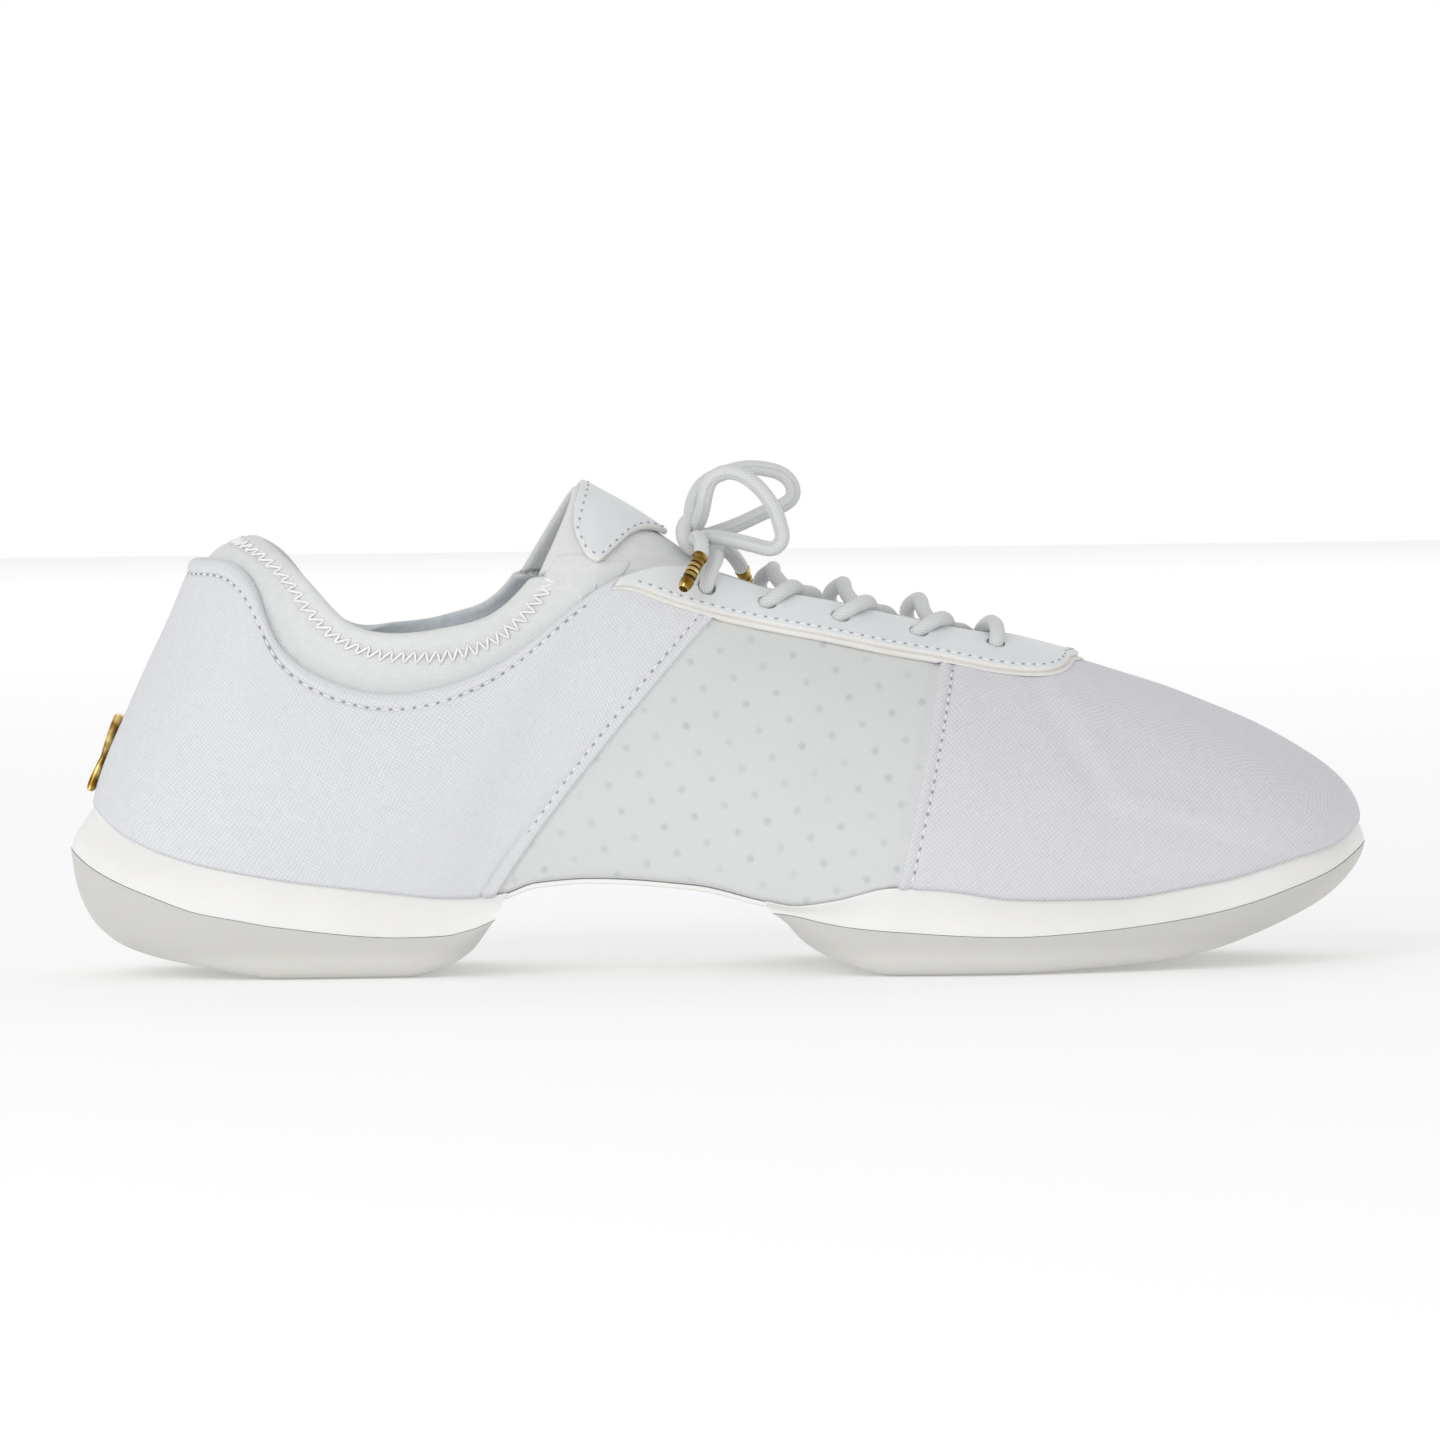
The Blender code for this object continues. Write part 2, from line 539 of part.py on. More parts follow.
def collar_columns(numbers):
    """Ring parameters and rim points of the collar, from medial (negative numbers) to lateral."""
    rows = np.array([(x, med, z) for x, lat, med, z in COLLAR_RIM[:0:-1]] + [(x, -lat, z) for x, lat, med, z in COLLAR_RIM])
    rim = spline(np.arange(-CORNER_ROW, CORNER_ROW + 1), rows)(numbers)
    u = np.where(numbers < 0, around(-numbers, "medial") - KNOTS[-1], around(numbers))
    return u, rim


def collar_faces(numbers, steps_in, steps_free):
    """Outer and inner face of the collar: hidden hem along the upper's lining, then free up to the rim."""
    u, rim = collar_columns(numbers)
    hem_u, hem_v = grid(u, np.linspace(COLLAR_LOW, 1.0, steps_in))
    hem = raised(hem_u, hem_v, np.full(hem_u.shape, -(WALL + GAP)))
    edge = hem[:, -1]
    rise = hem[:, -1] - hem[:, -2]
    rise /= np.linalg.norm(rise, axis=1, keepdims=True)
    lift = 0.45 * np.linalg.norm(rim - edge, axis=1, keepdims=True)
    t = np.linspace(0.0, 1.0, steps_free + 1)[1:, None, None]
    free = edge * (1 - t) ** 2 + (edge + rise * lift) * 2 * t * (1 - t) + rim * t**2
    outer = np.concatenate([hem, np.moveaxis(free, 0, 1)], axis=1)
    along = np.gradient(outer, axis=0)
    up = np.gradient(outer, axis=1)
    normal = np.cross(along, up)
    normal /= np.linalg.norm(normal, axis=-1, keepdims=True)
    return outer, outer - normal * COLLAR_THICK


def build_collar():
    numbers = np.linspace(-COLLAR_LAST_ROW, COLLAR_LAST_ROW, 33)
    outer, inner = collar_faces(numbers, 3, 5)
    shell("collar", outer, inner, "knit")


crest_height = curve_of(TONGUE_CREST)


def tongue_edges():
    """The tongue's two edges, the hidden lines under them and the crest's x, as curves over its stations."""
    rows = []
    free, _ = collar_faces(np.array([-TONGUE_BEGINS, -TONGUE_BEGINS + 0.1, TONGUE_BEGINS - 0.1, TONGUE_BEGINS]), 3, 20)
    for down, crest_x in TONGUE_REAR:
        at = (1 - down) * 20 + 2
        sides = [[np.interp(at, np.arange(free.shape[1]), free[end][:, k]) for k in range(3)] for end in (-1, 0)]
        under = [np.array(side) + (0.0, 0.0, -0.5) for side in sides]
        rows.append(np.concatenate([*sides, *under, [crest_x]]))
    for number in np.linspace(TONGUE_FIRST_ROW, TONGUE_LAST_ROW, int(TONGUE_STATIONS[-1]) + 1 - len(TONGUE_REAR)):
        u = np.array([around(number), around(number, "medial")])
        drop = np.full(2, -(WALL + GAP + TONGUE_CLEAR))
        sides = raised(u, np.full(2, 1.0), drop)
        under = raised(u, np.full(2, TONGUE_SIDE), drop)
        rows.append(np.concatenate([*sides, *under, [sides[:, 0].mean() - 0.5]]))
    return spline(np.arange(len(rows)), np.array(rows))


def tongue_face(stations, across):
    """The tongue's outer face: each station is a parabola from the lateral edge over the crest to the medial one."""
    edges = tongue_edges()(stations)
    lateral, medial, under_lateral, under_medial = (edges[:, None, k : k + 3] for k in (0, 3, 6, 9))
    w = np.linspace(-1, 1, across)[None, :, None]
    middle, half = 0.5 * (lateral + medial), 0.5 * (medial - lateral)
    crest = np.stack([edges[:, 12], middle[:, 0, 1], crest_height(edges[:, 12])], axis=1)[:, None]
    arch = middle + half * w + (crest - middle) * (1 - w**2)
    return np.concatenate([under_lateral, arch, under_medial], axis=1)


def face_normals(face):
    normal = np.cross(np.gradient(face, axis=0), np.gradient(face, axis=1))
    return normal / np.linalg.norm(normal, axis=-1, keepdims=True)


def upward_normals(face):
    """Normals of a face that arches over the foot, pointing away from it."""
    normal = face_normals(face)
    return normal * np.sign(normal[:, face.shape[1] // 2, 2])[:, None, None]


def build_tongue():
    outer = tongue_face(np.array(TONGUE_STATIONS, float), 11)
    shell("tongue", outer, outer - upward_normals(outer) * TONGUE_THICK, "knit")


def build_patch():
    """The leatherette patch: a piece of the tongue's own face, lifted off it, with a rounded front end."""
    fine = 41
    stations = np.linspace(*PATCH_SPAN, 8)
    face = tongue_face(stations, fine)[:, 1:-1]
    normal = upward_normals(face)
    past = np.maximum(0.0, stations - PATCH_ROUND) / (PATCH_SPAN[1] - PATCH_ROUND)
    reach = PATCH_WIDTH * np.sqrt(1 - 0.96 * past**2)
    w = np.linspace(-1, 1, 11)
    rows = []
    for i, share in enumerate(reach):
        at = (w * share + 1) / 2 * (fine - 1)
        rows.append([[np.interp(at, np.arange(fine), a[i][:, k]) for k in range(3)] for a in (face, normal)])
    place, up = np.moveaxis(np.array(rows), (1, 3), (0, 2))
    shell("tongue_patch", place + up * (PATCH_LIFT + PATCH_THICK), place + up * PATCH_LIFT, "leather")


def stay_grid(numbers, steps):
    """Ring parameters and heights of the eyestay, which runs from the throat's edge down to its own line."""
    u = np.concatenate([around(numbers), around(numbers[-2::-1], "medial")])
    low = RING(u)[:, 13]
    us = np.repeat(u[:, None], steps, axis=1)
    vs = low[:, None] + (1 - low[:, None]) * np.linspace(0, 1, steps)
    return us, vs


def build_eyestay():
    """The U of leatherette round the throat, punched for the lace."""
    us, vs = stay_grid(np.linspace(CORNER_ROW + 0.15, TOE, 20), 4)
    base = STEP + GAP
    made = shell(
        "eyestay",
        raised(us, vs, np.full(us.shape, base + STAY_THICK)),
        raised(us, vs, np.full(us.shape, base)),
        "leather",
    )
    for side in ("lateral", "medial"):
        for x in EYELET_X:
            cutter = punch(x, side)
            cut = made.modifiers.new("hole", "BOOLEAN")
            cut.operation = "DIFFERENCE"
            cut.solver = "EXACT"
            cut.object = cutter


def throat_place(x, side, height, lift):
    """A point over the upper near the throat, at x and at that share of its height, and the normal there."""
    numbers = np.linspace(CORNER_ROW, TOE - 1, 200)
    u = around(numbers, side)
    line = surface(u, np.full(u.shape, height))[:, 0]
    here = np.array([np.interp(x, line, u)])
    v = np.full(1, height)
    return raised(here, v, np.full(1, lift))[0], outward(here, v)[0]


def punch(x, side):
    """A cutter through the eyestay at one eyelet."""
    place, normal = throat_place(x, side, EYELET_HEIGHT, STEP + GAP + STAY_THICK)
    mesh = bpy.data.meshes.new("punch")
    work = bmesh.new()
    bmesh.ops.create_cone(
        work, cap_ends=True, segments=10, radius1=HOLE / 2 * MM, radius2=HOLE / 2 * MM, depth=8 * MM
    )
    work.to_mesh(mesh)
    work.free()
    made = bpy.data.objects.new(f"punch_{side}_{EYELET_X.index(x)}", mesh)
    made.location = Vector(place * MM)
    made.rotation_euler = Vector(normal).to_track_quat("Z", "Y").to_euler()
    made.hide_render = True
    made.display_type = "WIRE"
    CUTTERS.objects.link(made)
    return made


def smooth_path(points, step):
    """A smooth curve through hand-picked points, sampled about every step millimetres."""
    points = np.asarray(points, float)
    knots = np.concatenate([[0.0], np.cumsum(np.linalg.norm(np.diff(points, axis=0), axis=1))])
    return spline(knots, points)(np.linspace(0, knots[-1], max(2, int(round(knots[-1] / step)) + 1)))


def tube(name, points, diameter, finish, step=4.5, resolution=2):
    """A lace or cord: a poly curve with filled caps."""
    path = smooth_path(points, step)
    data = bpy.data.curves.new(name, "CURVE")
    data.dimensions = "3D"
    data.bevel_depth = diameter / 2 * MM
    data.bevel_resolution = resolution
    data.use_fill_caps = True
    run = data.splines.new("POLY")
    run.points.add(len(path) - 1)
    for point, place in zip(run.points, path * MM):
        point.co = (*place, 1.0)
    return add_object(name, data, finish)


def as_mesh(made):
    """The same tube as a welded mesh object, which can be joined."""
    seen = made.evaluated_get(bpy.context.evaluated_depsgraph_get())
    mesh = bpy.data.meshes.new_from_object(seen)
    work = bmesh.new()
    work.from_mesh(mesh)
    bmesh.ops.remove_doubles(work, verts=work.verts, dist=1e-6)
    work.to_mesh(mesh)
    work.free()
    name, finish = made.name, made.data.materials[0]
    bpy.data.objects.remove(made, do_unlink=True)
    mesh.materials.clear()
    mesh.materials.append(finish)
    solid = bpy.data.objects.new(name, mesh)
    SHOE.objects.link(solid)
    return solid


def join_solids(first, second):
    """Union of two meshes into the first; the second is removed."""
    union = first.modifiers.new("join", "BOOLEAN")
    union.operation = "UNION"
    union.solver = "EXACT"
    union.object = second
    bpy.context.view_layer.update()
    seen = first.evaluated_get(bpy.context.evaluated_depsgraph_get())
    mesh = bpy.data.meshes.new_from_object(seen)
    first.modifiers.clear()
    first.data = mesh
    bpy.data.objects.remove(second, do_unlink=True)
    return first


LACE_LIFT = STEP + GAP + STAY_THICK + LACE / 2 + 0.5  # a strand's centre over the eyestay


def lace_over(x, side):
    """A strand leaving a hole: up off the leather and over the throat's edge."""
    hole, normal = throat_place(x, side, EYELET_HEIGHT, LACE_LIFT)
    edge, _ = throat_place(x + EDGE_AHEAD, side, 1.0, LACE_LIFT + 0.5)
    return [hole, edge]


def lace_under(x, side):
    """Where a strand comes up from beneath the throat's edge, kept inside the throat over the tongue."""
    edge, _ = throat_place(x, side, 1.0, 0.0)
    edge[1] *= 0.60
    edge[2] = float(crest_height(x)) + LACE / 2 + 1.0
    return [edge]


def over_crest(x, lift):
    return [np.array([x, 0.0, float(crest_height(x)) + LACE / 2 + 0.9 + lift])]


def build_laces():
    """The front bar and four crossings over the tongue, each crossing one joined solid."""
    front = EYELET_X[-1]
    bar = lace_over(front, "lateral") + over_crest(front - 2.0, 1.9) + lace_over(front, "medial")[::-1]
    tube("lace_bar", bar, LACE, "lace")
    for i in range(len(EYELET_X) - 1):
        rear, ahead = EYELET_X[i], EYELET_X[i + 1] - UNDER_BACK
        middle = rear + 0.7 * (ahead - rear)
        strands = []
        lifts = (0.7, 0.0) if i == 0 else (1.6, 0.7)
        for side, other, lift in zip(("lateral", "medial"), ("medial", "lateral"), lifts):
            path = lace_over(rear, side) + over_crest(middle, lift) + lace_under(ahead, other)
            strands.append(as_mesh(tube(f"lace_crossing_{i + 1}" if side == "lateral" else "strand", path, LACE, "lace")))
        join_solids(*strands)


def ball(name, centre, size, finish):
    mesh = bpy.data.meshes.new(name)
    work = bmesh.new()
    bmesh.ops.create_uvsphere(work, u_segments=12, v_segments=7, radius=1.0)
    bmesh.ops.scale(work, verts=work.verts, vec=[s / 2 * MM for s in size])
    bmesh.ops.translate(work, verts=work.verts, vec=[c * MM for c in centre])
    work.to_mesh(mesh)
    work.free()
    mesh.shade_smooth()
    return add_object(name, mesh, finish)


def build_bow():
    """The knot, its two loops and the two ends with their aglets."""
    ball("lace_knot", KNOT, KNOT_SIZE, "lace")
    tube("lace_loop_near", LOOP_NEAR, LACE, "lace")
    tube("lace_loop_far", LOOP_FAR, LACE, "lace")
    tube("lace_end_near", END_NEAR, LACE, "lace")
    tube("lace_end_far", END_FAR, LACE, "lace")
    tube("aglet_near", AGLET_NEAR, AGLET, "gold")
    tube("aglet_far", AGLET_FAR, AGLET, "gold")


def build_badge():
    """A plain waisted plate on the back of the quarter, bent to the upper's own face."""
    vs = np.linspace(0.07, 0.40, 7)
    across = np.linspace(-1, 1, 5)
    waist = 5.2 - 1.3 * np.sin(np.linspace(0, np.pi, len(vs)))
    u = across[:, None] * waist[None, :]
    v = np.broadcast_to(vs, u.shape)
    base = STEP + GAP
    shell(
        "heel_badge",
        raised(u, v, np.full(u.shape, base + BADGE_THICK)),
        raised(u, v, np.full(u.shape, base)),
        "gold",
    )


clear_scene()
SHOE = collection("dance_sneaker")
CUTTERS = collection("cutters")
build_pod("heel", HEEL_LINES, HEEL_CORE, HEEL_END, 18, "outsole_heel", "midsole_heel")
build_pod("toe", FORE_LINES, FORE_CORE, FORE_END, 22, "outsole_forefoot", "midsole_forefoot")
build_arch_plate()
build_insole()
build_upper()
build_collar()
build_tongue()
build_patch()
build_eyestay()
build_laces()
build_bow()
build_badge()
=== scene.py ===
"""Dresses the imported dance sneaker: cloth, knit, leatherette, stitches, lace, sole, floor, light and camera.

Lengths are millimetres until a mesh is made: +X to the toe, +Y to the inner side of the foot, +Z up.
The upper's face is the part's own. A closed spline round the shoe gives four control points at each place u,
and the point at height v is their cubic Bezier, from the sole (v 0) to the opening (v 1). The relief on it is
a sum of soft ridges, each exp(-(distance / width) squared). A sheet is two heights over one grid, its border
closed as a quarter ellipse. A cord is a circle carried along a spline through its route's points.
"""

import math

import bpy
import numpy as np
from mathutils import Matrix, Vector


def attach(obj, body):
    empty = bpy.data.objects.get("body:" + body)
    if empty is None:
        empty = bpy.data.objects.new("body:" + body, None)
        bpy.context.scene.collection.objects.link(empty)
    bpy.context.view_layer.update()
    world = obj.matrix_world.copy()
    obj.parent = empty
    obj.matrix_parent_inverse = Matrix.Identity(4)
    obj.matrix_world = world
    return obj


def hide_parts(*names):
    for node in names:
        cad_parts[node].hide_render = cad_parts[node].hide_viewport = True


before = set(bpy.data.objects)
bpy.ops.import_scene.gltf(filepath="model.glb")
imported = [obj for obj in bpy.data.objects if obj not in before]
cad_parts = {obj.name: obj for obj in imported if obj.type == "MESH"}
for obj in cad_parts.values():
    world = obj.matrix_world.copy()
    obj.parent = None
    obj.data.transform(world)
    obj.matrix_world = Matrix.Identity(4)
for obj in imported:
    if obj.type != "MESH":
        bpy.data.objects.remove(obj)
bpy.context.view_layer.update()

MM = 0.001
GAP = 0.3
FOOT_GAP = 0.15  # the canvas comes down closer to the sole than the rigid solid does
WALL = 2.0
STEP, STEP_RUN = 0.8, 0.45  # the canvas stands this far over the mesh, rising within that
COLLAR_THICK = 3.0
TONGUE_THICK = 3.0
STAY_THICK = 1.3
PATCH_LIFT, PATCH_THICK = 0.3, 1.3
INSOLE_THICK, INSOLE_INSET = 3.0, 6.4
INSOLE_SHORT = 7.0  # it ends this far from the feather line at heel and toe
PLATE_LAP = 1.5  # the arch plate runs this far in under each pod
LACE = 3.2
HOLE = 4.0
BADGE_THICK = 1.6
BADGE_LOW, BADGE_TALL = 0.07, 0.33  # shares of the upper's height at the heel
BADGE_HALF, BADGE_WAIST = 5.2, 1.3

SEAT = (
    # x, z
    (-132.0, 36.2), (-125.3, 30.8), (-115.6, 26.4), (-102.5, 23.0), (-87.4, 20.4), (-70.0, 18.3),
    (-56.0, 16.8), (-46.0, 17.3), (-38.0, 19.8), (-27.0, 20.6), (-5.0, 19.1), (9.5, 15.8),
    (16.0, 14.7), (24.0, 15.7), (36.6, 18.4), (46.0, 18.0), (62.0, 15.8), (80.0, 15.6),
    (102.7, 18.4), (120.0, 22.6), (130.0, 25.4), (136.2, 29.6),
)
BED = (
    # x, z
    (-137.0, 16.0), (-60.0, 15.8), (-48.0, 17.2), (-40.0, 24.0), (0.0, 24.0), (10.0, 16.0),
    (24.0, 14.2), (62.0, 13.4), (86.0, 14.2), (104.0, 16.6), (120.0, 20.2), (137.0, 26.5),
)
HEEL_LINES = (
    # x, crease, under
    (-137.2, 27.0, 10.5), (-132.0, 23.5, 9.0), (-126.0, 20.6, 6.6), (-119.0, 17.9, 4.7),
    (-109.0, 14.4, 2.7), (-100.0, 12.7, 1.0), (-93.0, 11.4, 0.0), (-66.0, 8.8, 0.0),
    (-58.0, 9.0, 1.8), (-52.0, 10.2, 5.2), (-47.0, 12.2, 10.2), (-44.3, 13.6, 13.0),
)
FORE_LINES = (
    # x, crease, under
    (9.5, 13.6, 13.0), (13.5, 13.2, 10.7), (16.4, 12.7, 7.8), (21.0, 11.6, 4.7), (27.0, 10.5, 2.1),
    (36.0, 9.6, 0.0), (62.0, 8.2, 0.0), (77.0, 8.9, 0.7), (90.0, 10.1, 1.6), (103.0, 12.0, 3.8),
    (112.0, 14.1, 6.6), (120.0, 16.6, 9.6), (129.0, 19.8, 13.4), (137.6, 24.8, 18.0),
)
FOAM_LEVELS = (
    # flare, pull, drop from seat to crease
    (0.0, 0.0, 0.0), (0.42, 0.5, 0.28), (0.8, 1.2, 0.62), (1.0, 2.3, 1.0),
)
RUBBER_LEVELS = (
    # inset, pull, drop from crease to underside
    (0.0, 2.3, 0.0), (0.8, 3.2, 0.38), (2.6, 4.6, 0.70), (5.6, 6.6, 0.92), (9.5, 9.0, 1.0),
)
HEEL_END, FORE_END = -44.3, 9.8  # where the pods stop at the arch
PULL_REACH = 34.0  # the pull fades out this far from the end

SECTION_COLUMNS = (
    "foot_x", "foot_lat", "foot_med", "flare",
    "low_dx", "low_out", "low_up",
    "top_x", "top_lat", "top_med", "top_z",
    "high_dx", "high_share", "high_out", "high_down", "stay",
)
SECTIONS = (
    (-132.0, 0.0, 0.0, 5.3, 1.4, 0.0, 9.5, -110.4, 0.0, 0.0, 87.3, -4.7, 0.0, 0.0, 13.5, 1.0),
    (-128.9, 13.8, 13.8, 5.2, 1.0, 1.6, 10.0, -107.9, 9.6, 9.6, 87.2, -4.3, 0.0, 1.0, 13.5, 1.0),
    (-120.8, 24.3, 24.1, 4.6, 0.7, 2.8, 11.5, -102.1, 17.6, 17.4, 86.4, -3.5, 0.0, 2.2, 13.5, 1.0),
    (-109.0, 30.0, 29.5, 3.8, 0.3, 3.4, 13.0, -96.8, 24.2, 23.6, 81.0, -2.7, 0.0, 3.6, 13.0, 1.0),
    (-94.0, 32.0, 30.9, 3.2, 0.3, 3.8, 13.5, -91.3, 29.0, 27.8, 69.4, -1.1, 0.0, 3.8, 12.5, 1.0),
    (-78.0, 32.0, 30.2, 3.0, 0.3, 4.2, 13.5, -78.9, 31.4, 29.8, 61.0, -0.3, 0.0, 3.8, 12.0, 1.0),
    (-66.0, 31.4, 28.5, 3.0, 0.9, 4.6, 13.5, -63.7, 31.6, 29.8, 59.1, 0.1, 0.0, 4.2, 12.0, 1.0),
    (-58.5, 31.1, 27.5, 3.0, 4.4, 4.8, 15.0, -41.5, 28.6, 27.0, 67.4, -4.3, 0.0, 5.2, 14.0, 1.0),
    (-53.5, 31.0, 26.8, 3.0, 8.9, 5.0, 18.0, -22.6, 22.6, 21.6, 81.6, -8.3, 0.3, 3.6, 13.0, 0.975),
    (-49.8, 31.0, 26.3, 3.0, 11.0, 5.0, 19.0, -7.5, 15.4, 14.8, 84.2, -8.3, 0.6, 3.6, 10.5, 0.862),
    (-46.5, 31.0, 25.9, 3.0, 12.5, 5.0, 20.0, 5.4, 12.0, 11.6, 80.3, -8.2, 0.8, 1.4, 7.7, 0.839),
    (-18.0, 33.0, 24.8, 3.2, 8.6, 6.0, 26.0, 18.8, 11.6, 11.2, 76.8, -6.2, 0.8, 0.6, 8.8, 0.827),
    (10.0, 39.4, 30.6, 3.4, 6.5, 6.0, 22.0, 33.2, 11.2, 10.8, 73.5, -3.2, 0.68, 0.0, 8.0, 0.827),
    (37.1, 45.6, 40.0, 3.6, 4.4, 5.0, 17.0, 47.7, 10.4, 10.2, 70.1, -0.2, 0.53, 0.0, 6.8, 0.817),
    (64.0, 45.4, 46.0, 3.6, 2.8, 4.8, 15.5, 57.3, 8.4, 8.6, 68.3, 3.8, 0.53, 0.0, 6.3, 0.797),
    (90.0, 38.9, 43.8, 3.0, 3.5, 5.0, 13.5, 61.3, 6.0, 6.2, 67.6, 15.3, 0.5, 0.0, 4.0, 0.786),
    (111.0, 30.8, 37.8, 2.3, 3.3, 4.6, 12.5, 63.0, 3.8, 4.0, 67.3, 25.8, 0.5, 0.0, 5.9, 0.854),
    (125.8, 20.0, 29.4, 1.9, 2.3, 3.6, 12.3, 63.6, 1.9, 2.1, 67.2, 32.7, 0.5, 0.0, 7.8, 0.879),
    (133.4, 7.0, 18.8, 1.7, 1.3, 1.6, 12.3, 63.8, 0.8, 1.0, 67.1, 36.3, 0.5, 0.0, 8.8, 0.886),
    (136.1, -5.8, 5.8, 1.6, 0.7, 0.0, 12.4, 63.8, 0.0, 0.0, 67.1, 37.7, 0.5, 0.0, 9.2, 0.886),
)
CORNER_ROW, REAR_SEAM_ROW, FRONT_SEAM_ROW = 8, 10, 13
COLLAR_RIM = (
    # x, lateral, medial, z
    (-97.3, 0.0, 0.0, 92.6), (-95.9, 8.6, 8.4, 92.0), (-91.8, 15.4, 15.0, 89.4), (-85.5, 21.2, 20.6, 83.8),
    (-79.1, 25.4, 24.6, 77.4), (-71.2, 27.8, 26.8, 73.6), (-60.3, 28.0, 27.0, 73.0),
    (-47.1, 25.0, 24.0, 76.8), (-36.9, 19.6, 19.0, 85.2),
)
RIM_SETTLES = (
    # lateral down, medial back, medial down
    (0.0, 0.0, 0.0), (0.0, 0.0, 0.3), (0.3, 0.0, 1.3), (0.9, 0.0, 4.1), (1.8, 0.0, 3.7),
    (1.9, 0.0, 1.1), (1.8, 0.3, 0.3), (2.0, 1.9, -0.1), (0.6, 4.6, 0.2),
)
COLLAR_LOW = 0.80  # the share of the upper's height at which the hidden hem ends
COLLAR_LAST_ROW = 7.88  # the collar stops just behind the throat's corner
COLLAR_HEM_STEPS, COLLAR_FREE_STEPS = 8, 36
COLLAR_FLARE = 0.45  # how long the knit keeps the canvas's slope on its way to the rim
TONGUE_BEGINS = 7.95  # the row where the tongue's side starts
TONGUE_CREST = (
    # x, z
    (-29.5, 103.0), (-18.2, 96.6), (-9.1, 90.4), (-2.5, 85.8), (4.5, 82.3), (13.4, 79.4), (23.3, 76.6),
    (35.3, 73.4), (49.2, 70.0), (63.1, 66.0),
)
TONGUE_REAR = (
    # share of the way from the rim down the collar's front end, crest x
    (0.0, -29.5), (0.35, -26.6), (0.7, -23.6),
)
TONGUE_FIRST_ROW, TONGUE_LAST_ROW = 8.5, 16.0
TONGUE_CLEAR = 0.5
TONGUE_LAST = 13
PRESS_DEPTH, PRESS_BEGINS, PRESS_REACH = 2.2, -2.0, 12.0  # the lace presses the crest down from there on
PATCH_SPAN = (0.25, 3.55)  # stations along the tongue
PATCH_REACH = (
    # station along the tongue, share of the tongue's half width
    (0.25, 0.46), (0.5, 0.68), (0.8, 0.80), (1.3, 0.90), (1.8, 0.91), (2.4, 0.80), (2.9, 0.58),
    (3.3, 0.32), (3.55, 0.12),
)

EYELET_X = (-2.4, 10.5, 25.9, 42.3, 58.6)  # from the ankle to the toe
EYELET_HEIGHT = 0.92  # how high on the upper the holes lie
UNDER_BACK = 3.5  # a strand comes up this far behind the next pair of holes

TOP_FADE = 12.0  # the relief of the top edge fades out this far behind the throat
SLACK = 0.10  # how far the cloth waves
LEVELS = np.linspace(0, 1, 60)  # heights at which a line up the upper is measured
SHOE_MIDDLE = (-20.0, 0.0, 60.0)

CORD_STEP = 0.6
SEW_PITCH, FINE_PITCH, STAY_PITCH = 2.5, 2.4, 2.3
ZIGZAG_PITCH = 1.3
STAY_SEWN_IN = 1.35  # how far in from its lower edge the eyestay is sewn
SEW_WIDTH, FINE_WIDTH = 0.45, 0.42
GROOVE_BACK = 2.7  # the stitched groove runs this far behind a folded edge
EDGE_RELIEF = (
    # height, distance into the canvas from its folded edge, width
    (0.26, 1.1, 0.8), (-0.34, GROOVE_BACK, 0.5), (0.10, 4.6, 1.4), (-0.15, -1.0, 1.0),
)
TOP_RELIEF = (
    # height, distance below the canvas's top edge, width
    (0.30, 1.1, 0.9), (-0.34, GROOVE_BACK, 0.5),
)
FOLD_RELIEF = (
    # height, distance below the collar's rim, width
    (0.35, 1.5, 2.0), (-0.35, 4.7, 1.3),
)

# Where the lace of the bow runs, from the knot out.
LOOP_NEAR = (
    (-3.4, -4.8, 90.8), (-1.6, -7.6, 91.3), (2.4, -9.6, 90.9), (6.1, -11.0, 90.1), (9.8, -12.1, 89.1),
    (12.6, -12.8, 88.9), (14.2, -13.0, 90.6), (14.1, -13.0, 92.8), (13.3, -13.0, 95.6), (11.3, -12.6, 99.4),
    (7.6, -12.0, 103.3), (3.3, -11.0, 105.0), (-0.4, -10.0, 103.5), (-1.9, -8.9, 99.7), (-2.5, -7.2, 96.8),
    (-3.4, -5.0, 94.4), (-4.4, -3.2, 92.6),
)
LOOP_FAR = (
    (-2.8, -1.0, 91.2), (1.3, 2.2, 92.4), (6.2, 4.4, 94.2), (11.2, 6.4, 96.4), (14.6, 7.5, 97.7),
    (16.8, 8.0, 99.7), (16.7, 8.0, 101.8), (15.0, 8.0, 104.0), (11.3, 7.5, 105.4), (6.4, 6.5, 105.7),
    (1.9, 5.0, 104.6), (-2.6, 3.0, 102.1), (-4.4, 1.4, 98.9), (-4.9, -0.4, 96.2), (-4.7, -1.8, 94.2),
)
END_NEAR = (
    (0.4, 7.6, 88.6), (-1.0, 4.4, 89.4), (-2.2, 0.4, 90.0), (-3.6, -4.2, 90.4), (-4.2, -8.6, 90.8),
    (-3.9, -12.6, 91.2), (-3.3, -16.6, 91.0), (-2.8, -19.6, 89.8), (-2.8, -21.4, 88.1),
)
AGLET_NEAR = ((-2.9, -21.8, 87.6), (-7.2, -28.2, 79.7))
END_FAR = (
    (-2.0, -8.4, 90.2), (-3.8, -6.0, 90.4), (-4.6, -3.0, 91.6), (-4.4, 1.0, 92.2), (-2.4, 6.0, 91.6),
    (1.0, 11.0, 89.6), (4.2, 15.6, 86.6), (5.6, 18.6, 84.4),
)
AGLET_FAR = ((5.8, 19.0, 84.1), (8.2, 26.4, 77.4))
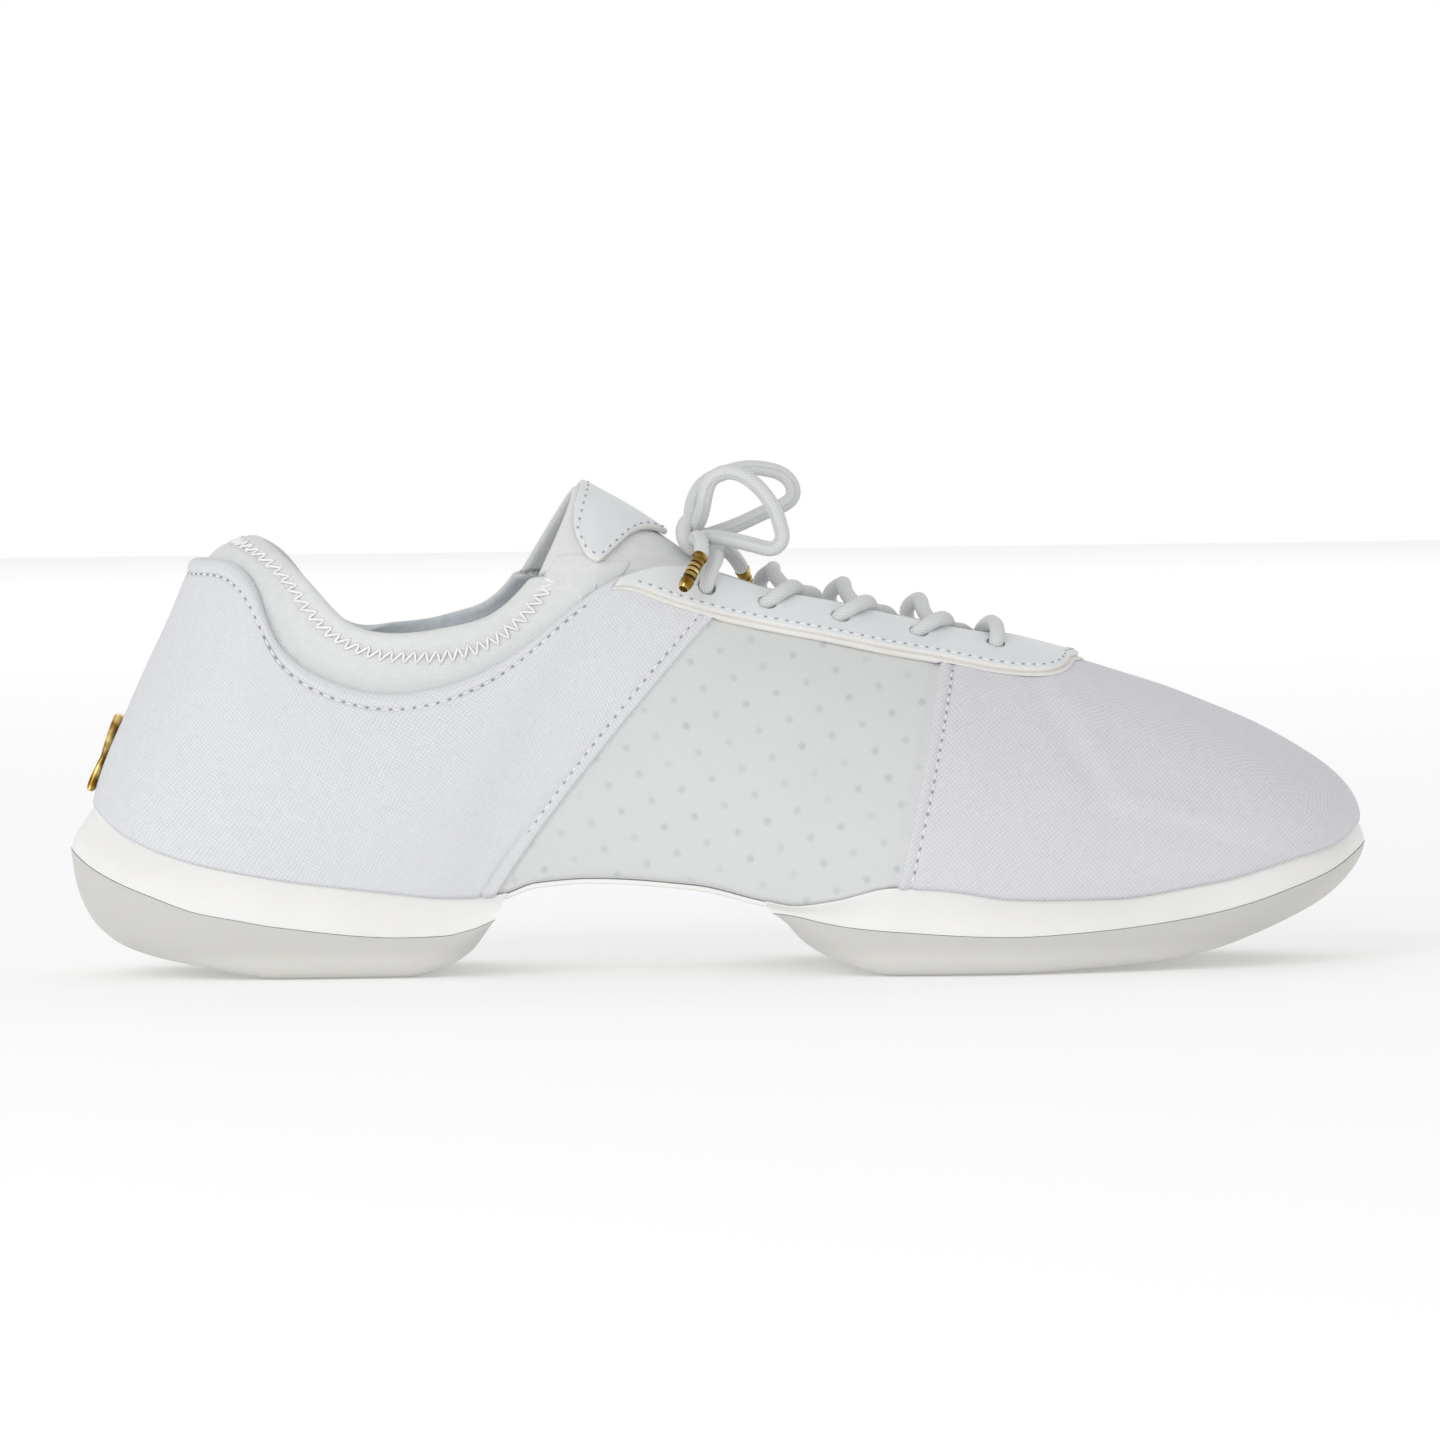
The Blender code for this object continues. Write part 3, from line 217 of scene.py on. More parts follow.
KNOT_WRAP = (
    (-3.0, -2.0, 95.2), (-5.0, -3.4, 95.0), (-6.4, -5.2, 93.4), (-6.4, -6.6, 91.2), (-5.2, -6.6, 89.2),
    (-3.2, -5.0, 88.4), (-2.0, -2.6, 89.0),
)
AGLET_PROFILE = (
    # distance from its mouth, radius
    (0.0, 1.2), (0.0, 1.6), (0.3, 1.72), (0.9, 1.72), (1.15, 1.4), (1.6, 1.4), (1.8, 1.5), (2.2, 1.5),
    (2.4, 1.36), (2.9, 1.36), (3.1, 1.5), (3.5, 1.5), (3.7, 1.36), (4.2, 1.36), (4.4, 1.5), (4.8, 1.5),
    (5.0, 1.36), (5.5, 1.36), (5.7, 1.5), (6.1, 1.5), (6.3, 1.36), (7.0, 1.36), (7.3, 1.52), (8.4, 1.5),
    (9.6, 1.0), (10.0, 0.5), (10.0, 0.1),
)
GROOVE_RADIUS = 1.37  # the aglet's skin carries painted shade, dark bronze, in its grooves where it is slimmer than this

# Soft folds of the cloth, in the side view of one side of the shoe.
CREASES = (
    # side, x, z, direction in degrees, half length, half width, height
    (-1, 74.0, 47.0, -58.0, 15.0, 2.6, -0.35), (-1, 80.0, 44.0, -60.0, 14.0, 3.0, 0.35),
    (-1, 96.0, 33.0, -14.0, 20.0, 2.2, 0.30), (-1, 98.0, 29.0, -12.0, 20.0, 2.4, -0.25),
    (-1, -34.0, 62.0, 40.0, 16.0, 2.8, 0.35), (-1, -40.0, 57.0, 38.0, 18.0, 2.6, -0.35),
    (-1, -96.0, 60.0, 70.0, 15.0, 3.0, -0.35), (-1, -66.0, 40.0, 8.0, 22.0, 4.0, 0.30),
    (-1, 8.0, 48.0, 62.0, 16.0, 3.4, -0.25), (1, 78.0, 44.0, -58.0, 15.0, 2.8, -0.40),
    (1, 85.0, 42.0, -60.0, 14.0, 3.0, 0.40), (1, -10.0, 44.0, 30.0, 20.0, 3.4, -0.40),
    (1, -3.0, 52.0, 28.0, 18.0, 3.4, 0.35), (1, -60.0, 46.0, 20.0, 20.0, 3.4, 0.35),
)
CREASE_DEPTH, CREASE_FADE = 1.6, 6.0


def unit(vectors):
    return vectors / np.linalg.norm(vectors, axis=-1, keepdims=True)


def ease(t):
    """Smooth step from 0 to 1."""
    t = np.clip(t, 0.0, 1.0)
    return t * t * (3 - 2 * t)


def bump(t, centre, width):
    """A soft ridge of height 1 across t."""
    return np.exp(-(((t - centre) / width) ** 2))


def ridges(t, table):
    """Sum of the soft ridges and troughs of a table of height, centre and width."""
    return sum(height * bump(t, centre, width) for height, centre, width in table)


def hermite(t, start, leave, finish, arrive):
    """The cubic from start to finish with the slopes leave and arrive at its two ends."""
    return (
        start * (2 * t**3 - 3 * t**2 + 1)
        + leave * (t**3 - 2 * t**2 + t)
        + finish * (3 * t**2 - 2 * t**3)
        + arrive * (t**3 - t**2)
    )


def spline(knots, values, closed=False):
    """Cubic spline through rows of values: natural at its ends, or periodic with the last knot as the
    first."""
    knots, values = np.asarray(knots, float), np.asarray(values, float)
    step = np.diff(knots)
    slope = np.diff(values, axis=0) / step[:, None]
    count = len(knots)
    system, right = np.zeros((count, count)), np.zeros_like(values)
    for i in range(1, count - 1):
        system[i, i - 1 : i + 2] = step[i], 2 * (step[i - 1] + step[i]), step[i - 1]
        right[i] = 3 * (step[i] * slope[i - 1] + step[i - 1] * slope[i])
    if closed:
        system[0, 0], system[0, 1] = 2 * (step[-1] + step[0]), step[-1]
        system[0, -2] = step[0]
        right[0] = 3 * (step[0] * slope[-1] + step[-1] * slope[0])
        system[-1, 0], system[-1, -1] = 1.0, -1.0
    else:
        system[0, :2], right[0] = (2.0, 1.0), 3 * slope[0]
        system[-1, -2:], right[-1] = (1.0, 2.0), 3 * slope[-1]
    tangent = np.linalg.solve(system, right)

    def at(where):
        where = np.atleast_1d(np.asarray(where, float))
        if closed:
            where = knots[0] + np.mod(where - knots[0], knots[-1] - knots[0])
        i = np.clip(np.searchsorted(knots, where, side="right") - 1, 0, count - 2)
        h = step[i][:, None]
        t = ((where - knots[i]) / step[i])[:, None]
        return hermite(t, values[i], tangent[i] * h, values[i + 1], tangent[i + 1] * h)

    return at


def curve_of(table, column=1):
    """A monotone curve z(x) through a table, level beyond its ends."""
    x = np.array([row[0] for row in table])
    z = np.array([row[column] for row in table])
    slope = np.diff(z) / np.diff(x)
    same = slope[:-1] * slope[1:] > 0
    inner = np.where(same, 2 * slope[:-1] * slope[1:] / np.where(same, slope[:-1] + slope[1:], 1.0), 0.0)
    tangent = np.concatenate([[slope[0]], inner, [slope[-1]]])

    def at(where):
        where = np.clip(where, x[0], x[-1])
        i = np.clip(np.searchsorted(x, where, side="right") - 1, 0, len(x) - 2)
        h = x[i + 1] - x[i]
        return hermite((where - x[i]) / h, z[i], tangent[i] * h, z[i + 1], tangent[i + 1] * h)

    return at


def read_off(at, knots, rows):
    """Rows of values read between their knots."""
    return np.stack([np.interp(at, knots, rows[:, k]) for k in range(rows.shape[1])], axis=-1)


def arcs(points, axis):
    """Length along a grid's lines from their start."""
    step = np.linalg.norm(np.diff(points, axis=axis), axis=-1)
    return np.cumsum(np.insert(step, 0, 0.0, axis=axis), axis=axis)


def grid(us, vs):
    return np.meshgrid(us, vs, indexing="ij")


# The shoe's own lines and surfaces

seat = curve_of(SEAT)
bed = curve_of(BED)
crest_height = curve_of(TONGUE_CREST)


def low_crest(x):
    """The tongue's crest, pressed down under the lace."""
    x = np.asarray(x, float)
    return crest_height(x) - PRESS_DEPTH * ease((x - PRESS_BEGINS) / PRESS_REACH)


def floor(x):
    """The level that the insole lies on: the bed inside the pods, and the seat's own level at the arch."""
    return np.minimum(seat(x), bed(x))


def section_controls(row, side):
    """One section on one side: its foot in plan, the low handle from there, the high handle's end and
    the top, then the sole's flare and the eyestay's height."""
    c = dict(zip(SECTION_COLUMNS, row))
    sign, half = (-1, "lat") if side == "lateral" else (1, "med")
    foot_y, top_y = sign * c["foot_" + half], sign * c["top_" + half]
    foot = (c["foot_x"], foot_y, 0.0)
    low = (c["low_dx"], sign * c["low_out"], c["low_up"])
    top = (c["top_x"], top_y, c["top_z"])
    high_y = top_y + c["high_share"] * (foot_y - top_y) + sign * c["high_out"]
    high = (top[0] + c["high_dx"], high_y, top[2] - c["high_down"])
    return np.array([*foot, *low, *high, *top, c["flare"], c["stay"]])


def make_ring():
    """The sections as one closed ring: lateral from heel to toe, then medial back to the heel."""
    lateral = [section_controls(row, "lateral") for row in SECTIONS]
    medial = [section_controls(row, "medial") for row in SECTIONS[-2:0:-1]]
    rows = np.array(lateral + medial + lateral[:1])
    foot, top = rows[:, :3], rows[:, 9:12]
    knots = arcs(foot, 0) + arcs(top, 0)
    return spline(knots, rows, closed=True), knots


RING, KNOTS = make_ring()
TOE = len(SECTIONS) - 1


def around(number, side="lateral"):
    """The ring parameter of a section number, which may lie between two rows."""
    if side == "medial":
        number = 2 * TOE - number
    return np.interp(number, np.arange(len(KNOTS)), KNOTS)


def from_heel(u):
    """The ring parameter counted from the heel both ways, negative on the medial side."""
    return np.where(u > KNOTS[-1] / 2, u - KNOTS[-1], u)


def surface(u, v):
    """The upper's outer face: at ring parameter u, the Bezier from the sole (v 0) to the opening (v 1)."""
    controls = RING(np.ravel(u))[:, :12].reshape(*np.shape(u), 4, 3)
    controls[..., 0, 2] = seat(controls[..., 0, 0]) + FOOT_GAP
    controls[..., 1, :] += controls[..., 0, :]
    v = np.broadcast_to(v, np.shape(u))[..., None]
    return (
        controls[..., 0, :] * (1 - v) ** 3
        + controls[..., 1, :] * 3 * v * (1 - v) ** 2
        + controls[..., 2, :] * 3 * v**2 * (1 - v)
        + controls[..., 3, :] * v**3
    )


def outward(u, v):
    """Unit normals of the upper's face, pointing out of the shoe."""
    du, dv = 0.2, 0.004
    along = surface(u + du, v) - surface(u - du, v)
    up = surface(u, v + dv) - surface(u, v - dv)
    return unit(np.cross(along, up))


def rate_round(u, v):
    """Millimetres along the face for each unit of the ring parameter."""
    du = 0.2
    return np.linalg.norm(surface(u + du, v) - surface(u - du, v), axis=-1) / (2 * du)


def raised(u, v, height):
    """Points that far over the upper's face; one height serves them all."""
    return surface(u, v) + outward(u, v) * np.broadcast_to(height, np.shape(u))[..., None]


def feather(u):
    """Feather line: where the outer face of the upper meets the sole, with the flare of the sole there."""
    rows = RING(u)
    along = RING(u + 0.3)[:, :2] - RING(u - 0.3)[:, :2]
    across = np.stack([along[:, 1], -along[:, 0]], axis=1)
    return rows[:, :2], unit(across), rows[:, 12]


def ring_at_x(x, side):
    """The ring parameter at which the feather line passes x on one side."""
    run = np.linspace(*sorted((0.0 if side == "lateral" else KNOTS[-1], KNOTS[TOE])), 800)
    line = RING(run)[:, 0]
    order = np.argsort(line)
    return float(np.interp(x, line[order], run[order]))


def run_round(tip, x_end, count):
    """Ring parameters from x_end on the lateral side, round the heel or the toe, to x_end on the medial
    side."""
    a, b = ring_at_x(x_end, "lateral"), ring_at_x(x_end, "medial")
    reached, left = (0.0, KNOTS[-1]) if tip == "heel" else (KNOTS[TOE], KNOTS[TOE])
    return np.concatenate([np.linspace(a, reached, count, endpoint=False), np.linspace(left, b, count + 1)])


def pod_level(run, tip, x_end, push, pull):
    """One level of a pod: the feather line pushed out along its normals, its end pulled away from the
    arch."""
    line, normal, _ = feather(run)
    points = line + normal * np.broadcast_to(push, run.shape)[:, None]
    sign = 1.0 if tip == "heel" else -1.0
    near_end = np.clip(1 - sign * (x_end - points[:, 0]) / PULL_REACH, 0, 1) ** 2
    points[:, 0] -= sign * pull * near_end
    return points


def with_z(points, z):
    return np.column_stack([points, np.broadcast_to(z, len(points))])


def face_normals(face):
    return unit(np.cross(np.gradient(face, axis=0), np.gradient(face, axis=1)))


def upward_normals(face):
    normal = face_normals(face)
    return normal * np.sign(normal[:, face.shape[1] // 2, 2])[:, None, None]


def collar_columns(numbers):
    """Ring parameters and rim points of the collar, from medial (negative numbers) to lateral. The knit
    settles away from the clean rim: RIM_SETTLES holds how far down it sits laterally, and how far back and
    down medially."""
    both = list(zip(COLLAR_RIM, RIM_SETTLES))
    medial = [(x - back, med, z - down) for (x, _, med, z), (_, back, down) in both]
    lateral = [(x, -lat, z - down) for (x, lat, _, z), (down, _, _) in both]
    rim = spline(np.arange(-CORNER_ROW, CORNER_ROW + 1), medial[:0:-1] + lateral)(numbers)
    u = np.where(numbers < 0, around(-numbers, "medial") - KNOTS[-1], around(numbers))
    return u, rim


def collar_faces(numbers, steps_in, steps_free):
    """Outer and inner face of the collar: hidden hem along the upper's lining, then free up to the rim."""
    u, rim = collar_columns(numbers)
    hem = raised(*grid(u, np.linspace(COLLAR_LOW, 1.0, steps_in)), -(WALL + GAP))
    edge = hem[:, -1]
    lift = COLLAR_FLARE * np.linalg.norm(rim - edge, axis=1, keepdims=True)
    t = np.linspace(0.0, 1.0, steps_free + 1)[1:, None, None]
    turn = edge + unit(edge - hem[:, -2]) * lift
    free = edge * (1 - t) ** 2 + turn * 2 * t * (1 - t) + rim * t**2
    outer = np.concatenate([hem, np.moveaxis(free, 0, 1)], axis=1)
    return outer, outer - face_normals(outer) * COLLAR_THICK


def tongue_edges():
    """The tongue's two edges and the crest's x, as curves over its stations."""
    rows = []
    steps_in, steps_free = 3, 20
    ends = np.array([-TONGUE_BEGINS, -TONGUE_BEGINS + 0.1, TONGUE_BEGINS - 0.1, TONGUE_BEGINS])
    free, _ = collar_faces(ends, steps_in, steps_free)
    columns = np.arange(free.shape[1])
    for down, crest_x in TONGUE_REAR:
        at = (1 - down) * steps_free + steps_in - 1
        rows.append([*read_off(at, columns, free[-1]), *read_off(at, columns, free[0]), crest_x])
    for number in np.linspace(TONGUE_FIRST_ROW, TONGUE_LAST_ROW, TONGUE_LAST + 1 - len(TONGUE_REAR)):
        u = np.array([around(number), around(number, "medial")])
        sides = raised(u, np.full(2, 1.0), -(WALL + GAP + TONGUE_CLEAR))
        rows.append([*sides[0], *sides[1], sides[:, 0].mean() - 0.5])
    return spline(np.arange(len(rows)), rows)


def tongue_face(stations, across):
    """The tongue's outer face: each station is a parabola from the lateral edge over the crest to the
    medial."""
    edges = tongue_edges()(stations)
    lateral, medial, crest_x = edges[:, None, 0:3], edges[:, None, 3:6], edges[:, 6]
    w = np.linspace(-1, 1, across)[None, :, None]
    middle, half = 0.5 * (lateral + medial), 0.5 * (medial - lateral)
    crest = np.stack([crest_x, middle[:, 0, 1], low_crest(crest_x)], axis=1)[:, None]
    return middle + half * w + (crest - middle) * (1 - w**2)


def throat_place(x, side, height, lift):
    """A point over the upper near the throat, at x and at that share of its height, and the normal there."""
    u = around(np.linspace(CORNER_ROW, TOE - 1, 200), side)
    line = surface(u, height)[:, 0]
    here = np.array([np.interp(x, line, u)])
    v = np.full(1, height)
    return raised(here, v, lift)[0], outward(here, v)[0]


def round_throat(first, count):
    """Ring parameters up the lateral side of the throat from a row to the toe, and back down the medial
    side."""
    numbers = np.linspace(first, TOE, count)
    return np.concatenate([around(numbers), around(numbers[-2::-1], "medial")])


# Making pieces


def grid_faces(rows, columns, close_rows=False, close_columns=False):
    """Quads of a grid of points, which may close round either way."""
    i = np.arange(rows if close_rows else rows - 1)[:, None]
    j = np.arange(columns if close_columns else columns - 1)[None, :]
    after_i, after_j = (i + 1) % rows, (j + 1) % columns
    corners = (i * columns + j, after_i * columns + j, after_i * columns + after_j, i * columns + after_j)
    return np.stack(np.broadcast_arrays(*corners), axis=-1).reshape(-1, 4)


def end_caps(rows, sides):
    """The two end faces of a tube that has that many rings of that many points."""
    return np.array([np.arange(sides)[::-1], (rows - 1) * sides + np.arange(sides)])


def link(name, data):
    made = bpy.data.objects.new(name, data)
    bpy.context.scene.collection.objects.link(made)
    return made


def put(name, points, faces, finishes, nodes=(), marks=None, cloth=None):
    """A piece from points in millimetres and groups of faces, which are turned outwards by their signed
    volume. marks picks each face's finish, and cloth is each point's place on the cloth, kept as the UV
    map."""
    points = np.asarray(points, float).reshape(-1, 3)
    groups = faces if isinstance(faces, list) else [faces]
    volume = 0.0
    for group in groups:
        corner = points[group]
        for k in range(1, group.shape[1] - 1):
            volume += np.einsum("ij,ij->", corner[:, 0], np.cross(corner[:, k], corner[:, k + 1]))
    if volume < 0:
        groups = [group[:, ::-1] for group in groups]
    mesh = bpy.data.meshes.new(name)
    mesh.from_pydata(points * MM, [], [face for group in groups for face in group.tolist()])
    for finish in finishes:
        mesh.materials.append(finish)
    if marks is not None:
        mesh.polygons.foreach_set("material_index", np.asarray(marks, dtype=np.int32))
    if cloth is not None:
        layer = mesh.uv_layers.new(name="cloth")
        corners = np.concatenate([group.ravel() for group in groups])
        layer.data.foreach_set("uv", np.asarray(cloth, float).reshape(-1, 2)[corners].ravel())
    mesh.shade_smooth()
    made = link(name, mesh)
    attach(made, "root")
    if nodes:
        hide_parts(*nodes)
    return made


def pillow(place, normal, low, high, rounding):
    """A sheet between two heights over a grid of places, its border rounded: near the border both faces close
    on the middle as a quarter ellipse. Returns the points, the quads and each point's distance from the
    border."""
    rows, columns = place.shape[:2]
    along, across = arcs(place, 0), arcs(place, 1)
    edge = np.minimum(np.minimum(along, along[-1:] - along), np.minimum(across, across[:, -1:] - across))
    full = np.sqrt(1 - (1 - np.clip(edge / rounding, 0, 1)) ** 2)[..., None]
    middle, half = 0.5 * (low + high), 0.5 * (high - low)
    middle, half = (np.broadcast_to(h, edge.shape)[..., None] for h in (middle, half))
    upper = place + normal * (middle + half * full)
    lower = place + normal * (middle - half * full)
    inside = np.zeros((rows, columns), bool)
    inside[1:-1, 1:-1] = True
    under = np.arange(rows * columns).reshape(rows, columns)
    under[inside] = rows * columns + np.arange(inside.sum())
    quads = grid_faces(rows, columns)
    points = np.concatenate([upper.reshape(-1, 3), lower[inside]])
    faces = np.concatenate([quads, under.ravel()[quads][:, ::-1]])
    return points, faces, np.concatenate([edge.ravel(), edge[inside]])


def rolled_rim(outer, inner, lip, steps, reach=1.0):
    """The round edge between two faces' last lines: half an ellipse that stands out along lip."""
    turn = np.linspace(0, np.pi, steps)[1:-1][None, :, None]
    middle, half = 0.5 * (outer + inner)[:, None], 0.5 * (outer - inner)[:, None]
    out = lip[:, None] * np.linalg.norm(half, axis=-1, keepdims=True)
    return middle + half * np.cos(turn) + out * np.sin(turn) * reach


def crowded(count, margin=0.02):
    """Parameters from 0 to 1, close together at both ends so that a rounded border keeps its shape."""
    close = margin * np.array([0.0, 0.1, 0.35, 0.7])
    return np.unique(np.concatenate([close, np.linspace(margin, 1 - margin, count), 1 - close]))


def smooth_path(points):
    """A smooth curve through listed points, sampled evenly."""
    points = np.asarray(points, float)
    knots = arcs(points, 0)
    fine = spline(knots, points)(np.linspace(0, knots[-1], 40 * len(points)))
    length = arcs(fine, 0)
    at = np.linspace(0, length[-1], max(3, int(round(length[-1] / CORD_STEP)) + 1))
    return read_off(at, length, fine)


def cord_points(path, radius, sides, ends=4):
    """A tube: a circle carried along the path in a frame that turns as little as it can, with round ends."""
    tangent = unit(np.gradient(path, axis=0))
    normal = np.zeros_like(path)
    normal[0] = unit(np.cross(tangent[0], (0.31, 0.17, 0.93)))
    for k in range(1, len(path)):
        normal[k] = unit(normal[k - 1] - tangent[k] * np.dot(normal[k - 1], tangent[k]))
    side = np.cross(tangent, normal)
    dome = np.linspace(0, np.pi / 2, ends + 1)[:-1]
    shrink = np.concatenate([np.sin(dome), np.ones(len(path)), np.sin(dome)[::-1]])
    shrink[[0, -1]] = 0.12
    push = np.concatenate([-np.cos(dome), np.zeros(len(path)), np.cos(dome)[::-1]]) * radius
    pick = np.concatenate([np.zeros(ends, int), np.arange(len(path)), np.full(ends, len(path) - 1)])
    centre = path[pick] + tangent[pick] * push[:, None]
    turn = np.linspace(0, 2 * np.pi, sides, endpoint=False)[None, :, None]
    ring = normal[pick][:, None] * np.cos(turn) + side[pick][:, None] * np.sin(turn)
    return centre[:, None] + ring * (radius * shrink)[:, None, None], arcs(centre, 0)


def put_cord(name, path, diameter, finish, nodes=(), sides=20):
    points, length = cord_points(path, diameter / 2, sides)
    rows = len(points)
    girth = np.pi * diameter * np.arange(sides) / sides
    cloth = np.stack(np.broadcast_arrays(length[:, None], girth[None, :]), axis=-1)
    faces = [grid_faces(rows, sides, close_columns=True), end_caps(rows, sides)]
    return put(name, points, faces, [finish], nodes, cloth=cloth)


def stitches(name, path, normal, pitch, length, width, sink, finish, phase=0.5):
    """A row of stitches: short threads along a line on the cloth, their ends dipping into it by sink."""
    arc = arcs(path, 0)
    count = int(arc[-1] / pitch)
    reach = np.linspace(-0.5, 0.5, 5)
    at = (np.arange(count)[:, None] + phase) * pitch + reach[None] * length
    centre = read_off(at, arc, path)
    up = unit(read_off(at, arc, normal))
    side = unit(np.cross(np.gradient(centre, axis=1), up))
    centre = centre + up * (width * 0.3 - sink * (2 * reach) ** 2)[None, :, None]
    sides = 6
    turn = np.linspace(0, 2 * np.pi, sides, endpoint=False)[:, None]
    size = 0.5 * width * np.array([0.35, 0.9, 1.0, 0.9, 0.35])
    ring = side[:, :, None] * np.cos(turn) + up[:, :, None] * np.sin(turn)
    points = centre[:, :, None] + ring * size[:, None, None]
    start = np.arange(count)[:, None, None] * len(reach) * sides
    quads = (start + grid_faces(len(reach), sides, close_columns=True)).reshape(-1, 4)
    first, last = end_caps(len(reach), sides)
    caps = np.concatenate([start[:, 0] + first, start[:, 0] + last])
    return put(name, points, [quads, caps], [finish])


def sew(name, path, normal, pitch, width=SEW_WIDTH):
    """One row of sewing: light threads, and between them dark beads of painted shade where the needle holes
    lie.
    """
    for end, share, sink, finish, phase in (
        ("_thread", 0.62, 0.22, THREAD, 0.5), ("_painted_hole_shade", 0.3, 0.05, PAINTED_HOLE_SHADE, 1.0),
    ):
        stitches(name + end, path, normal, pitch, pitch * share, width, sink, finish, phase)


def on_grid(points, i, j):
    """Points between a grid's own, by its row and column numbers."""
    i, j = np.clip(i, 0, points.shape[0] - 1.001), np.clip(j, 0, points.shape[1] - 1.001)
    a, b = i.astype(int), j.astype(int)
    s, t = (i - a)[..., None], (j - b)[..., None]
    low = points[a, b] * (1 - t) + points[a, b + 1] * t
    high = points[a + 1, b] * (1 - t) + points[a + 1, b + 1] * t
    return low * (1 - s) + high * s


def column_at(points, distance):
    """For each row of a grid, the column number that lies distance back from the row's end."""
    return np.array([np.interp(line[-1] - distance, line, np.arange(len(line))) for line in arcs(points, 1)])


# Materials


def linear(colour):
    """An sRGB hex value as linear light."""
    value = np.array([int(colour[i : i + 2], 16) for i in (0, 2, 4)]) / 255.0
    value = np.where(value <= 0.04045, value / 12.92, ((value + 0.055) / 1.055) ** 2.4)
    return (*value, 1.0)


def node(tree, kind, inputs, out=0, **settings):
    """Adds one shader node: settings are its properties, inputs its values or the outputs that feed them."""
    made = tree.nodes.new("ShaderNode" + kind)
    for name, value in settings.items():
        setattr(made, name, value)
    for socket, value in inputs.items():
        if isinstance(value, bpy.types.NodeSocket):
            tree.links.new(value, made.inputs[socket])
        else:
            made.inputs[socket].default_value = value
    return made.outputs[out]


def maths(tree, operation, *values):
    return node(tree, "Math", dict(enumerate(values)), operation=operation)


def noise(tree, place, scale, detail, out=0):
    return node(tree, "TexNoise", {"Vector": place, "Scale": scale, "Detail": detail}, out=out)


def stretch(tree, *value_and_ends, **settings):
    """Maps a value from one range to another, or to 0..1: the value, the first range, then the second."""
    return node(tree, "MapRange", dict(enumerate(value_and_ends)), **settings)


def on_cloth(tree):
    """The place on the cloth, in millimetres."""
    return node(tree, "UVMap", {}, uv_map="cloth")


def on_piece(tree):
    """The place in the piece's own frame, in metres."""
    return node(tree, "TexCoord", {}, out=3)


def start_finish(name, colour, roughness, **sockets):
    """A Principled material with its plain values; returns it with its tree and shader."""
    made = bpy.data.materials.new(name)
    made.use_nodes = True
    shader = made.node_tree.nodes["Principled BSDF"]
    shader.inputs["Base Color"].default_value = linear(colour)
    shader.inputs["Roughness"].default_value = roughness
    for socket, value in sockets.items():
        shader.inputs[socket.replace("_", " ")].default_value = value
    return made, made.node_tree, shader


def relief(tree, shader, height, distance, strength=1.0):
    """Feeds a height in 0..1 to the shader as bump, distance being the real depth in millimetres."""
    normal = node(tree, "Bump", {"Height": height, "Distance": distance * MM, "Strength": strength})
    tree.links.new(normal, shader.inputs["Normal"])


def tint(tree, shader, share, low, high):
    """Colours the surface between two sRGB values by a share in 0..1."""
    colour = node(tree, "Mix", {0: share, 6: linear(low), 7: linear(high)}, out=2, data_type="RGBA")
    tree.links.new(colour, shader.inputs["Base Color"])


def threads(tree, source, pitch, turn):
    """Height of a plain weave: the product of two rounded waves, one along each thread, a pitch apart."""
    placed = node(tree, "Mapping", {"Vector": source, "Rotation": turn, "Scale": (np.pi / pitch,) * 3})
    along, across = (node(tree, "SeparateXYZ", {0: placed}, out=k) for k in (0, 1))
    waves = [maths(tree, "ABSOLUTE", maths(tree, "SINE", run)) for run in (along, across)]
    return maths(tree, "MULTIPLY", *waves)


def make_canvas(name, low, high, slant):
    """Cotton canvas, plain woven, threads 0.72 mm apart: matt, with a grey dimple at each gap in the weave
    and threads that wander a little."""
    made, tree, shader = start_finish(name, high, 0.9, Sheen_Weight=0.1, Sheen_Roughness=0.5)
    place = on_cloth(tree)
    wander = noise(tree, place, 0.35, 2.0, out=1)
    place = node(tree, "VectorMath", {0: wander, 1: (0.9, 0.9, 0.9), 2: place}, operation="MULTIPLY_ADD")
    weave = threads(tree, place, 0.72, (0.0, 0.0, slant))
    slub = maths(tree, "MULTIPLY", noise(tree, place, 0.8, 3.0), 0.4)
    mixed = maths(tree, "MULTIPLY_ADD", weave, 0.6, slub)
    tint(tree, shader, stretch(tree, mixed, 0.15, 0.65), low, high)
    relief(tree, shader, mixed, 0.12, 0.6)
    return made


